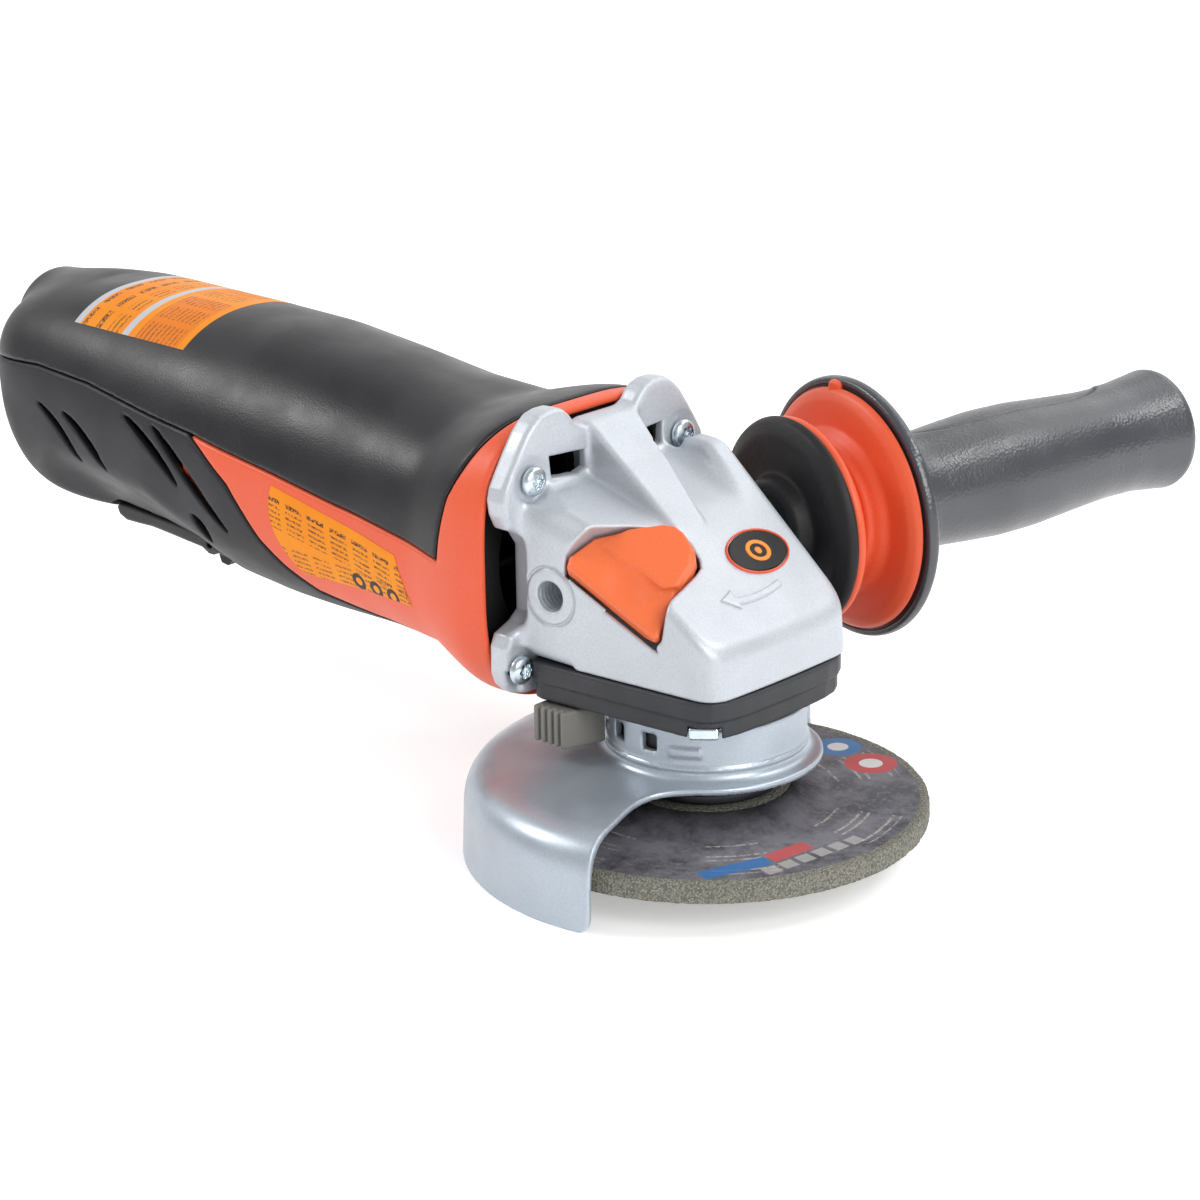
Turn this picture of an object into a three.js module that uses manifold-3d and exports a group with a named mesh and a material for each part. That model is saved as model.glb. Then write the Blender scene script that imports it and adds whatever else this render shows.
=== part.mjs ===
// Angle grinder with a depressed-centre wheel, a quick-turn guard and an angled side handle.
// Millimetres. +X points from the handle to the nose, +Y to the side-handle side, +Z up along
// the spindle. The origin is the centre of the spindle's end face, under the wheel.

import * as THREE from "three";
import { mergeVertices } from "three/addons/utils/BufferGeometryUtils.js";
import { ConvexGeometry } from "three/addons/geometries/ConvexGeometry.js";
import Module from "manifold-3d";

const wasm = await Module();
wasm.setup();

// ---------------------------------------------------------------- driving dimensions

const GAP = 0.3; // between pieces that touch on the real tool
const RUNNING = 0.08; // radial clearance of a shaft in its bearing
const ROUND = 24; // sides of a large turned piece
const SMALL_ROUND = 8; // sides of a screw or pin

const WHEEL_RADIUS = 62.5; // 125 mm wheel
const WHEEL_THICKNESS = 6.4;
const WHEEL_BORE = 11.1; // 22.23 mm bore
const WHEEL_RIM_TOP = 6.0;
const WHEEL_HUB_TOP = 10.6;
const WHEEL_HUB_RADIUS = 24;
const WHEEL_DISH_RADIUS = 33;

const SPINDLE_THREAD = 7.0; // M14
const SPINDLE_SHOULDER = 17.3;
const SPINDLE_SHAFT = 6.0;
const SPINDLE_TOP = 71.5;

const GUARD_OUTER = 69; // skirt radius at its lower edge
const GUARD_WALL = 1.9;
const GUARD_SKIRT_BOTTOM = -9.5;
const GUARD_DECK_TOP = 21.2;
const GUARD_RIM_TOP = 16.3;
const GUARD_COLLAR_OUTER = 28;
const GUARD_COLLAR_INNER = 25.6;
const GUARD_LIP = 32.5;
const GUARD_FROM = THREE.MathUtils.degToRad(104);
const GUARD_TO = THREE.MathUtils.degToRad(284);

const PLATE_BOTTOM = 36;
const PLATE_TOP = 47;
const PLATE_HALF_REAR = 35;
const PLATE_HALF_FRONT = 30;
const NECK_RADIUS = 25.2;
const NECK_BOTTOM = 20.5;

const CASE_REAR = -44; // joint between the gear case and the motor housing
const CASE_FLANGE_FRONT = -36.5;
const CASE_NOSE = 26;
const NOSE_TOP = 62;
const SLOPE_TOP = 109; // the sloping ridge where it meets the flange
const SHOULDER_TOP = 94.5; // the lower shoulders either side of the ridge, at the flange
const SHOULDER_FRONT = -5; // where the shoulders run out into the slope
const SIDE_REAR = 35; // half width of the case at the flange
const SIDE_NOSE = 29.3;

const MOTOR_AXIS = 69.5; // height of the armature's axis, and the bevel gears' apex
const CROWN_TEETH = 30;
const PINION_TEETH = 10;
const GEAR_MODULE = 1.2;
const FACE_WIDTH = 5.5;
const CROWN_PITCH = (GEAR_MODULE * CROWN_TEETH) / 2;
const PINION_PITCH = (GEAR_MODULE * PINION_TEETH) / 2;
const CROWN_CONE = Math.atan2(CROWN_TEETH, PINION_TEETH);
const PINION_CONE = Math.PI / 2 - CROWN_CONE;
const PITCH_PLANE = MOTOR_AXIS - PINION_PITCH; // height of the crown gear's pitch circle

const SOCKET = new THREE.Vector3(-25.1, 0, 69); // where the handle axis crosses the middle plane
const HANDLE_TILT = 0.24; // the side handle leans forward
const HANDLE_RISE = 0.03;
const SOCKET_RADIUS = 5.3;
const STUD_RADIUS = 4.9; // M10

const BODY_WALL = 2.6;
const BODY_REAR = -277;
const BODY_SIDES = 28;

const PADDLE_PIVOT = new THREE.Vector3(-152, 0, 38.5);
const PADDLE_REAR = -243;
const PADDLE_HALF_WIDTH = 12;
const LOCK_OFF_X = -197;
const LOCK_OFF_Z = 40;

// ---------------------------------------------------------------- geometry helpers

// Merges shared vertices, drops collapsed triangles and turns the faces outward.
function closed(source) {
  const plain = source.index ? source.toNonIndexed() : source.clone();
  plain.deleteAttribute("normal");
  plain.deleteAttribute("uv");
  const merged = mergeVertices(plain, 1e-4);
  const index = merged.index.array;
  const kept = [];
  for (let i = 0; i < index.length; i += 3) {
    const [a, b, c] = [index[i], index[i + 1], index[i + 2]];
    if (a !== b && b !== c && c !== a) kept.push(a, b, c);
  }
  const p = merged.attributes.position;
  const [va, vb, vc] = [new THREE.Vector3(), new THREE.Vector3(), new THREE.Vector3()];
  let volume = 0;
  for (let i = 0; i < kept.length; i += 3) {
    va.fromBufferAttribute(p, kept[i]);
    vb.fromBufferAttribute(p, kept[i + 1]);
    vc.fromBufferAttribute(p, kept[i + 2]);
    volume += va.dot(vb.cross(vc));
  }
  if (volume < 0) {
    for (let i = 0; i < kept.length; i += 3) {
      [kept[i + 1], kept[i + 2]] = [kept[i + 2], kept[i + 1]];
    }
  }
  merged.setIndex(kept);
  return merged;
}

function solid(geometry) {
  const clean = closed(geometry);
  return new wasm.Manifold(
    new wasm.Mesh({
      numProp: 3,
      vertProperties: new Float32Array(clean.attributes.position.array),
      triVerts: new Uint32Array(clean.index.array),
    }),
  );
}

function geometryOf(manifold) {
  const mesh = manifold.getMesh();
  const geometry = new THREE.BufferGeometry();
  geometry.setAttribute("position", new THREE.BufferAttribute(mesh.vertProperties, 3));
  geometry.setIndex(new THREE.BufferAttribute(mesh.triVerts, 1));
  return geometry;
}

function join(...solids) {
  return solids.reduce((sum, next) => sum.add(next));
}

function box(x0, x1, y0, y1, z0, z1) {
  const geometry = new THREE.BoxGeometry(x1 - x0, y1 - y0, z1 - z0);
  geometry.translate((x0 + x1) / 2, (y0 + y1) / 2, (z0 + z1) / 2);
  return solid(geometry);
}

// A turned piece: the profile is [radius, distance along the axis], and the axis runs from
// base along direction.
function turned(profile, sides, base = new THREE.Vector3(), direction = new THREE.Vector3(0, 0, 1)) {
  const onAxis = profile[0][0] === 0 && profile[profile.length - 1][0] === 0;
  const points = profile.map(([r, s]) => new THREE.Vector2(r, s));
  if (!onAxis) points.push(points[0].clone());
  const geometry = new THREE.LatheGeometry(points, sides);
  const turn = new THREE.Quaternion().setFromUnitVectors(new THREE.Vector3(0, 1, 0), direction.clone().normalize());
  geometry.applyQuaternion(turn);
  geometry.translate(base.x, base.y, base.z);
  return solid(geometry);
}

function rod(radius, from, to, sides = SMALL_ROUND) {
  const length = from.distanceTo(to);
  const profile = [[0, 0], [radius, 0], [radius, length], [0, length]];
  return turned(profile, sides, from, to.clone().sub(from));
}

function diskZ(radius, z0, z1, sides = ROUND, x = 0, y = 0) {
  return rod(radius, new THREE.Vector3(x, y, z0), new THREE.Vector3(x, y, z1), sides);
}

function diskX(radius, x0, x1, sides = ROUND, y = 0, z = MOTOR_AXIS) {
  return rod(radius, new THREE.Vector3(x0, y, z), new THREE.Vector3(x1, y, z), sides);
}

function ringX(outer, inner, x0, x1, sides = ROUND, z = MOTOR_AXIS) {
  return diskX(outer, x0, x1, sides, 0, z).subtract(diskX(inner, x0 - 1, x1 + 1, sides, 0, z));
}

function ringZ(outer, inner, z0, z1, sides = ROUND) {
  return diskZ(outer, z0, z1, sides).subtract(diskZ(inner, z0 - 1, z1 + 1, sides));
}

function shapeOf(points) {
  return new THREE.Shape(points.map(([a, b]) => new THREE.Vector2(a, b)));
}

// Outlines in XY, YZ or XZ, extruded along the third axis.
function prismZ(points, z0, z1) {
  const geometry = new THREE.ExtrudeGeometry(shapeOf(points), { depth: z1 - z0, bevelEnabled: false });
  geometry.translate(0, 0, z0);
  return solid(geometry);
}

function prismX(points, x0, x1) {
  const geometry = new THREE.ExtrudeGeometry(shapeOf(points), { depth: x1 - x0, bevelEnabled: false });
  const turn = new THREE.Matrix4().makeBasis(
    new THREE.Vector3(0, 1, 0),
    new THREE.Vector3(0, 0, 1),
    new THREE.Vector3(1, 0, 0),
  );
  geometry.applyMatrix4(turn);
  geometry.translate(x0, 0, 0);
  return solid(geometry);
}

function prismY(points, y0, y1) {
  const geometry = new THREE.ExtrudeGeometry(shapeOf(points), { depth: y1 - y0, bevelEnabled: false });
  const turn = new THREE.Matrix4().makeBasis(
    new THREE.Vector3(1, 0, 0),
    new THREE.Vector3(0, 0, 1),
    new THREE.Vector3(0, -1, 0),
  );
  geometry.applyMatrix4(turn);
  geometry.translate(0, y1, 0);
  return solid(geometry);
}

function hull(points) {
  return solid(new ConvexGeometry(points.map(([x, y, z]) => new THREE.Vector3(x, y, z))));
}

function vec(x, y, z) {
  return new THREE.Vector3(x, y, z);
}

function helix(radius, wire, length, turns, base, direction) {
  const points = [];
  const steps = turns * 8;
  for (let i = 0; i <= steps; i += 1) {
    const angle = (i / steps) * turns * 2 * Math.PI;
    points.push(vec(radius * Math.cos(angle), radius * Math.sin(angle), wire + (i / steps) * (length - 2 * wire)));
  }
  const section = new THREE.Shape();
  section.absarc(0, 0, wire, 0, 2 * Math.PI);
  const geometry = new THREE.ExtrudeGeometry(section, {
    steps,
    curveSegments: 3,
    extrudePath: new THREE.CatmullRomCurve3(points),
  });
  const turn = new THREE.Quaternion().setFromUnitVectors(vec(0, 0, 1), direction.clone().normalize());
  geometry.applyQuaternion(turn);
  geometry.translate(base.x, base.y, base.z);
  return solid(geometry);
}

// ---------------------------------------------------------------- materials

const FINISH = {
  cast: [0xcdd2d8, 0.42, 0.85],
  steel: [0xb9bdc2, 0.3, 1.0],
  darkSteel: [0x55595e, 0.4, 0.9],
  zinc: [0xd5dde2, 0.28, 1.0],
  guardSteel: [0xb9c3cd, 0.4, 0.8],
  plate: [0x4b4c50, 0.6, 0.1],
  orange: [0xee7350, 0.5, 0.0],
  black: [0x3c3c41, 0.6, 0.0],
  charcoal: [0x39393d, 0.65, 0.0],
  rubber: [0x2a2a2c, 0.85, 0.0],
  lever: [0x787670, 0.6, 0.1],
  abrasive: [0x5b5b60, 0.95, 0.0],
  laminate: [0x77726c, 0.5, 0.6],
  copper: [0xb8703a, 0.4, 0.9],
  carbon: [0x2c2c2e, 0.7, 0.1],
  board: [0x2f5f45, 0.6, 0.0],
  label: [0xfaa53c, 0.5, 0.0],
};

const tool = new THREE.Group();

function place(name, shape, finish, parent = tool) {
  const [color, roughness, metalness] = FINISH[finish];
  const material = new THREE.MeshStandardMaterial({ color, roughness, metalness });
  const mesh = new THREE.Mesh(geometryOf(shape), material);
  mesh.name = name;
  parent.add(mesh);
  return mesh;
}

// ---------------------------------------------------------------- body sections

// Each station of the motor body: x, half width, bottom, top, and how square the section is.
const BODY_STATIONS = [
  [-44, 43, 29.4, 111.4, 3.4],
  [-54, 44.5, 28.4, 112.4, 3.2],
  [-63, 43.4, 30.6, 110.6, 2.9],
  [-75, 41, 34, 107.4, 2.5],
  [-100, 39.8, 33.8, 109.8, 2.2],
  [-128, 41, 33.2, 113.4, 2.15],
  [-158, 42.2, 33.8, 116.2, 2.15],
  [-190, 41.6, 35.4, 117, 2.2],
  [-220, 39.8, 38.5, 116.8, 2.3],
  [-246, 38, 42, 116.4, 2.5],
  [-262, 36.4, 46, 115, 2.6],
  [-270, 34, 54, 113, 2.6],
  [BODY_REAR, 30, 66, 110, 2.6],
];

function bodyAt(x) {
  const last = BODY_STATIONS.length - 1;
  let i = 0;
  while (i < last - 1 && x < BODY_STATIONS[i + 1][0]) i += 1;
  const [from, to] = [BODY_STATIONS[i], BODY_STATIONS[i + 1]];
  const t = THREE.MathUtils.clamp((from[0] - x) / (from[0] - to[0]), 0, 1);
  return from.map((value, k) => (k === 0 ? x : THREE.MathUtils.lerp(value, to[k], t)));
}

function bodyRing(x, inset) {
  const [, half, bottom, top, square] = bodyAt(x);
  const middle = (bottom + top) / 2;
  const [a, b] = [half - inset, (top - bottom) / 2 - inset];
  const ring = [];
  for (let i = 0; i < BODY_SIDES; i += 1) {
    const angle = (i / BODY_SIDES) * 2 * Math.PI;
    const [c, s] = [Math.cos(angle), Math.sin(angle)];
    const y = Math.sign(c) * Math.abs(c) ** (2 / square) * a;
    const z = Math.sign(s) * Math.abs(s) ** (2 / square) * b;
    ring.push(vec(x, y, middle + z));
  }
  return ring;
}

// The body between two places along X, as one closed solid, drawn in by inset.
function bodyLoft(xFront, xRear, inset) {
  const between = BODY_STATIONS.map((row) => row[0]).filter((x) => x < xFront - 1 && x > xRear + 1);
  const rings = [xFront, ...between, xRear].map((x) => bodyRing(x, inset));
  const positions = [];
  const push = (...corners) => corners.forEach((p) => positions.push(p.x, p.y, p.z));
  for (let k = 0; k < rings.length - 1; k += 1) {
    for (let i = 0; i < BODY_SIDES; i += 1) {
      const j = (i + 1) % BODY_SIDES;
      const [a, b, c, d] = [rings[k][i], rings[k][j], rings[k + 1][j], rings[k + 1][i]];
      push(a, b, c);
      push(a, c, d);
    }
  }
  for (const [ring, flip] of [[rings[0], false], [rings[rings.length - 1], true]]) {
    const centre = ring.reduce((sum, p) => sum.add(p), vec(0, 0, 0)).divideScalar(BODY_SIDES);
    for (let i = 0; i < BODY_SIDES; i += 1) {
      const j = (i + 1) % BODY_SIDES;
      if (flip) push(centre, ring[i], ring[j]);
      else push(centre, ring[j], ring[i]);
    }
  }
  const geometry = new THREE.BufferGeometry();
  geometry.setAttribute("position", new THREE.Float32BufferAttribute(positions, 3));
  return solid(geometry);
}

// The seam between the top cover and what lies below it, seen from the side.
const SEAM = [
  [-62, 72.2], [-107, 78], [-133, 82.3], [-168, 87.5], [-189, 89.6], [-221, 93.4], [-247, 94.4], [-285, 91.5],
];

const SEAM_REAR = SEAM[SEAM.length - 1][1];

// The front edge of the top cover, from its top down to the seam.
const COVER_EDGE = [[-49.5, 140], [-49.5, 112.7], [-51.5, 106.6], [-54.5, 99], [-58.4, 90.8], [-61, 79]];

const COVER_FRONT = -46;

// The curved edge between the side panel of the motor housing and the lower shell.
const PANEL_EDGE = [
  [-170, 87.7], [-163.5, 83.6], [-152, 75.5], [-146, 68], [-140.6, 60.2], [-133, 52.5], [-124, 45.8],
  [-104, 41], [-78, 38.8],
];

// Air slots through each side of the lower shell: rear end, front end, width at the middle.
const AIR_SLOTS = [
  [[-244, 82], [-225, 67.5], 2.2],
  [[-231.5, 81.5], [-211.5, 67.5], 2.2],
  [[-198, 87], [-174.5, 71], 2.2],
  [[-182, 84], [-154.5, 60], 2.4],
  [[-170.5, 62.5], [-167.5, 53], 4],
];

function aboveSeam(gap) {
  const front = COVER_EDGE.map(([x, z]) => [x - gap, z]);
  const seam = SEAM.map(([x, z]) => [x, z + gap]);
  return prismY([...front, ...seam, [-300, SEAM_REAR + gap], [-300, 140]], -60, 60);
}

function lowerShellRegion(gap) {
  const [front] = PANEL_EDGE[PANEL_EDGE.length - 1];
  const seam = SEAM.filter(([x]) => x < PANEL_EDGE[0][0]).reverse();
  return prismY([
    [-300, SEAM_REAR - gap], ...seam.map(([x, z]) => [x, z - gap]),
    ...PANEL_EDGE.map(([x, z]) => [x - gap, z - gap]), [front - gap, 20], [-300, 20],
  ], -60, 60);
}

function airSlot([x0, z0], [x1, z1], width) {
  const length = Math.hypot(x1 - x0, z1 - z0);
  const [nx, nz] = [((z0 - z1) / length) * width, ((x1 - x0) / length) * width];
  const at = (t, k) => [x0 + (x1 - x0) * t + nx * k, z0 + (z1 - z0) * t + nz * k];
  return prismY([at(0, 0), at(0.3, -0.4), at(0.7, -0.4), at(1, 0), at(0.7, 0.4), at(0.3, 0.4)], -60, 60);
}

// ---------------------------------------------------------------- gear case

const CASE_SLOPE = (SLOPE_TOP - NOSE_TOP) / (CASE_FLANGE_FRONT - CASE_NOSE);

function slopeHeight(x) {
  return SLOPE_TOP + CASE_SLOPE * (x - CASE_FLANGE_FRONT);
}

function sideHalf(x) {
  const t = (x - CASE_FLANGE_FRONT) / (CASE_NOSE - CASE_FLANGE_FRONT);
  return THREE.MathUtils.lerp(SIDE_REAR, SIDE_NOSE, t);
}

// The flange that bolts to the motor housing, with two horns above and two feet below.
function flangeOutline() {
  const half = [
    [0, 36], [33, 36], [39, 38.5], [41.5, 45], [41.5, 51], [35.5, 57], [35.5, 80], [40.5, 86],
    [41.5, 93], [39, 99.5], [35, 105.5], [29, 112.5], [25, 115.4], [17.5, 115.4], [12, 111.5], [8, 108.5],
  ];
  const mirrored = half.slice(1).reverse().map(([y, z]) => [-y, z]);
  return [...half, ...mirrored];
}

function wedgeBody() {
  const profile = [
    [CASE_REAR + 4, PLATE_TOP + GAP], [CASE_NOSE + 3.2, PLATE_TOP + GAP], [CASE_NOSE + 2, NOSE_TOP - 2.5],
    [CASE_NOSE + 1, slopeHeight(CASE_NOSE + 1)], [SHOULDER_FRONT, slopeHeight(SHOULDER_FRONT)],
    [CASE_FLANGE_FRONT, SHOULDER_TOP], [CASE_REAR + 4, SHOULDER_TOP],
  ];
  const plan = [
    [CASE_REAR, SIDE_REAR], [CASE_FLANGE_FRONT, SIDE_REAR], [CASE_NOSE - 4, sideHalf(CASE_NOSE - 4)],
    [CASE_NOSE + 0.6, SIDE_NOSE - 2.1], [CASE_NOSE + 2.4, SIDE_NOSE - 6.3], [CASE_NOSE + 3.2, SIDE_NOSE - 14],
    [CASE_NOSE + 3.2, 14 - SIDE_NOSE], [CASE_NOSE + 2.4, 6.3 - SIDE_NOSE], [CASE_NOSE + 0.6, 2.1 - SIDE_NOSE],
    [CASE_NOSE - 4, -sideHalf(CASE_NOSE - 4)], [CASE_FLANGE_FRONT, -SIDE_REAR],
    [CASE_REAR, -SIDE_REAR],
  ];
  // On the far side the wall stays high, up to the plane of the slope.
  const wall = [
    [CASE_REAR + 4, 80], [SHOULDER_FRONT, 80], [SHOULDER_FRONT, slopeHeight(SHOULDER_FRONT)],
    [-22, slopeHeight(-22)], [CASE_REAR + 4, slopeHeight(-22)],
  ];
  return prismY(profile, -50, 50).add(prismY(wall, 27, 50)).intersect(prismZ(plan, 30, 130));
}

// The ridge that runs from between the horns down to the slope.
function centralRidge() {
  const corners = [];
  for (const side of [-1, 1]) {
    corners.push([CASE_REAR + 3, side * 9.5, 90], [CASE_REAR + 3, side * 8.5, SLOPE_TOP]);
    corners.push([CASE_FLANGE_FRONT, side * 9.5, 90], [CASE_FLANGE_FRONT, side * 8, SLOPE_TOP]);
    corners.push([SHOULDER_FRONT + 5, side * 4.5, slopeHeight(SHOULDER_FRONT + 5) - 4]);
    corners.push([SHOULDER_FRONT + 3, side * 4, slopeHeight(SHOULDER_FRONT + 3)]);
  }
  return hull(corners);
}

function caseWindow(side) {
  return prismX([[side * 9, 95.4], [side * 21, 96.6], [side * 21, 101.8], [side * 8, 100.6]], CASE_REAR - 2, -30);
}

// The lock button's own frame: out of the case, along the long edge, and across it.
const BUTTON_CENTRE = vec(-2.7, -21.6, 75.9);
const BUTTON_OUT = vec(0.414, -0.579, 0.702).normalize();
const BUTTON_ALONG = vec(30, 3, -15.2).projectOnPlane(BUTTON_OUT).normalize();
const BUTTON_ACROSS = BUTTON_OUT.clone().cross(BUTTON_ALONG).normalize();

// Its outline, along and across, is a rounded triangle.
const BUTTON_OUTLINE = [
  [-17, -13.4], [-18.6, -10.7], [-17.3, -2], [-11.7, 6], [-5.6, 13], [-2.6, 14.8], [0.8, 14.8],
  [6, 13], [8.2, 11.3], [9.3, 8.5], [12.4, -3.6], [16.4, -12], [15.8, -13.4],
];

function buttonPrism(grow, from, to, outline = BUTTON_OUTLINE) {
  const centre = [-0.5, -3];
  const grown = outline.map(([u, v]) => {
    const [du, dv] = [u - centre[0], v - centre[1]];
    const k = 1 + grow / Math.hypot(du, dv);
    return [centre[0] + du * k, centre[1] + dv * k];
  });
  const geometry = new THREE.ExtrudeGeometry(shapeOf(grown), { depth: to - from, bevelEnabled: false });
  geometry.translate(0, 0, from);
  geometry.applyMatrix4(new THREE.Matrix4().makeBasis(BUTTON_ALONG, BUTTON_ACROSS, BUTTON_OUT));
  geometry.translate(BUTTON_CENTRE.x, BUTTON_CENTRE.y, BUTTON_CENTRE.z);
  return solid(geometry);
}

const LOCK_PIN = vec(0, -10.4, 0);
const LOCK_PIN_RADIUS = 1.9;
const LOCK_PIN_TOP = 72.2;
const LOCK_PIN_TIP = 62;

const HANDLE_AXIS = vec(HANDLE_TILT, 1, HANDLE_RISE).normalize();
const FAR_SOCKET_AXIS = vec(0.09, -1, 0).normalize();
const FAR_SOCKET = vec(-30.1, 0, 67);

function alongHandle(s) {
  return SOCKET.clone().addScaledVector(HANDLE_AXIS, s);
}

// Clearance over the crown gear's teeth, which rise towards the spindle.
function crownRoom() {
  const top = PITCH_PLANE + 4.2;
  return turned([[0, 50], [19, 50], [19, PITCH_PLANE + 1.4], [12.4, top], [0, top]], ROUND);
}

function gearCase() {
  const flange = prismX(flangeOutline(), CASE_REAR, CASE_FLANGE_FRONT);
  const boss = rod(11, alongHandle(20), alongHandle(41.5), 24);
  let body = join(flange, wedgeBody(), centralRidge(), boss);
  const farSocketMouth = FAR_SOCKET.clone().addScaledVector(FAR_SOCKET_AXIS, 50);
  const farSocketFloor = FAR_SOCKET.clone().addScaledVector(FAR_SOCKET_AXIS, 22.8);
  const rooms = [
    caseWindow(-1),
    caseWindow(1),
    diskZ(22.5, 30, 57.5),
    crownRoom(),
    diskX(8.6, -34, -5, 24),
    diskX(15 + GAP, CASE_REAR - 2, -33.7),
    diskZ(5.5, 60, SPINDLE_TOP + 2.6, 24),
    rod(SOCKET_RADIUS, alongHandle(23), alongHandle(50), 16),
    rod(SOCKET_RADIUS, farSocketFloor, farSocketMouth, 16),
    buttonPrism(0.6, -8.5, 20),
    box(-10, 3.4, -22, -6.4, 68.6, 75.4),
    diskZ(LOCK_PIN_RADIUS + RUNNING, 58, 76, SMALL_ROUND, LOCK_PIN.x, LOCK_PIN.y),
  ];
  for (const room of rooms) body = body.subtract(room);
  for (const [y, z] of CASE_SCREWS) {
    body = body.subtract(diskX(2.4, CASE_REAR - 2, -30, SMALL_ROUND, y, z));
    body = body.subtract(diskX(5, CASE_FLANGE_FRONT, -24, 16, y, z));
  }
  for (const [x, y] of PLATE_SCREWS) body = body.subtract(diskZ(1.7, 40, 57, SMALL_ROUND, x, y));
  return body;
}

const CASE_SCREWS = [[-30.5, 97.5], [30.5, 97.5], [-37, 44.5], [37, 44.5]];
const PLATE_SCREWS = [[-29.5, -20.5], [-29.5, 20.5], [20.5, -21], [20.5, 21]];

function basePlate() {
  const half = (grow) => [
    [29.3 + grow, 0], [29.1 + grow, 16], [27 + grow, PLATE_HALF_FRONT - 4], [22, PLATE_HALF_FRONT + grow],
    [-31, PLATE_HALF_REAR + grow], [-35 - grow, 31],
  ];
  const outline = (grow) => {
    const mirrored = half(grow).slice(1).reverse().map(([x, y]) => [x, -y]);
    return [...half(grow), ...mirrored];
  };
  const upper = prismZ(outline(0), PLATE_BOTTOM + 5, PLATE_TOP);
  const lower = prismZ(outline(-0.8), PLATE_BOTTOM, PLATE_BOTTOM + 5.5);
  const neck = diskZ(NECK_RADIUS, NECK_BOTTOM, PLATE_BOTTOM + 2);
  let plate = join(upper, lower, neck);
  plate = plate.subtract(diskZ(16 + GAP, 37.5, 60));
  plate = plate.subtract(diskZ(11, NECK_BOTTOM - 5, 60));
  for (const [x, y] of PLATE_SCREWS) {
    plate = plate.subtract(diskZ(2.2, 30, 60, SMALL_ROUND, x, y));
    plate = plate.subtract(diskZ(4, 30, PLATE_BOTTOM + 3.4, SMALL_ROUND, x, y));
  }
  return plate.subtract(rod(1.6, vec(LEVER_PIVOT.x, LEVER_PIVOT.y, 30), vec(LEVER_PIVOT.x, LEVER_PIVOT.y, 43)));
}

// A pan-head screw with a hex socket; the head's outer face is at base and the shank runs along
// direction.
function screw(head, headHeight, shank, length, base, direction) {
  const profile = [
    [0, 0], [head, 0.4], [head, headHeight], [shank, headHeight], [shank, length], [0, length],
  ];
  const socket = turned([[0, -1], [head * 0.45, -1], [head * 0.45, headHeight * 0.6], [0, headHeight * 0.6]], 6, base, direction);
  return turned(profile, SMALL_ROUND, base, direction).subtract(socket);
}

// ---------------------------------------------------------------- spindle group

function grindingWheel() {
  const rimBottom = WHEEL_RIM_TOP - WHEEL_THICKNESS;
  const hubBottom = WHEEL_HUB_TOP - WHEEL_THICKNESS;
  return turned([
    [WHEEL_BORE, hubBottom], [WHEEL_HUB_RADIUS, hubBottom], [WHEEL_DISH_RADIUS + 2, rimBottom],
    [WHEEL_RADIUS, rimBottom], [WHEEL_RADIUS, WHEEL_RIM_TOP], [WHEEL_DISH_RADIUS, WHEEL_RIM_TOP],
    [WHEEL_HUB_RADIUS - 2, WHEEL_HUB_TOP], [WHEEL_BORE, WHEEL_HUB_TOP],
  ], 40);
}

function spindle() {
  return turned([
    [0, 0], [SPINDLE_THREAD - 0.8, 0], [SPINDLE_THREAD, 0.8], [SPINDLE_THREAD, SPINDLE_SHOULDER],
    [9.6, SPINDLE_SHOULDER], [9.6, 36.8], [SPINDLE_SHAFT, 36.8], [SPINDLE_SHAFT, 65.5],
    [3.4, 65.5], [3.4, SPINDLE_TOP], [0, SPINDLE_TOP],
  ], ROUND);
}

function innerFlange() {
  return turned([
    [SPINDLE_THREAD + GAP, 9.3], [10.8, 9.3], [10.8, WHEEL_HUB_TOP + GAP], [21, WHEEL_HUB_TOP + GAP],
    [21, 14], [15, 17], [SPINDLE_THREAD + GAP, 17],
  ], ROUND);
}

function clampNut() {
  const body = turned([
    [SPINDLE_THREAD + 0.2, 0.4], [17.5, 0.4], [18.5, 1.2], [18.5, 3.9], [10.8, 3.9], [10.8, 9],
    [SPINDLE_THREAD + 0.2, 9],
  ], ROUND);
  let nut = body;
  for (let i = 0; i < 4; i += 1) {
    const angle = (i * Math.PI) / 2;
    nut = nut.subtract(diskZ(2.4, -1, 2.4, 10, 14 * Math.cos(angle), 14 * Math.sin(angle)));
  }
  return nut;
}

// One straight bevel tooth as a tapered block: the large end at cone distance far, the small end
// at near, standing on the pitch cone whose apex is the origin and whose axis is +Z.
function bevelTooth(teeth, coneAngle, phase) {
  const outerCone = (GEAR_MODULE * teeth) / 2 / Math.sin(coneAngle);
  const corners = [];
  for (const distance of [outerCone, outerCone - FACE_WIDTH]) {
    const scale = distance / outerCone;
    const rows = [[0.7, 0.2], [-1.3, 0.47]];
    for (const [height, half] of rows) {
      for (const side of [-1, 1]) {
        const h = height * GEAR_MODULE * scale;
        const radial = distance * Math.sin(coneAngle) + h * Math.cos(coneAngle);
        const axial = distance * Math.cos(coneAngle) - h * Math.sin(coneAngle);
        const angle = phase + (side * half * Math.PI) / teeth;
        corners.push([radial * Math.cos(angle), radial * Math.sin(angle), axial]);
      }
    }
  }
  return hull(corners);
}

function bevelTeeth(teeth, coneAngle, phase) {
  let ring = bevelTooth(teeth, coneAngle, phase);
  for (let i = 1; i < teeth; i += 1) ring = ring.add(bevelTooth(teeth, coneAngle, phase + (i * 2 * Math.PI) / teeth));
  return ring;
}

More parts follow.
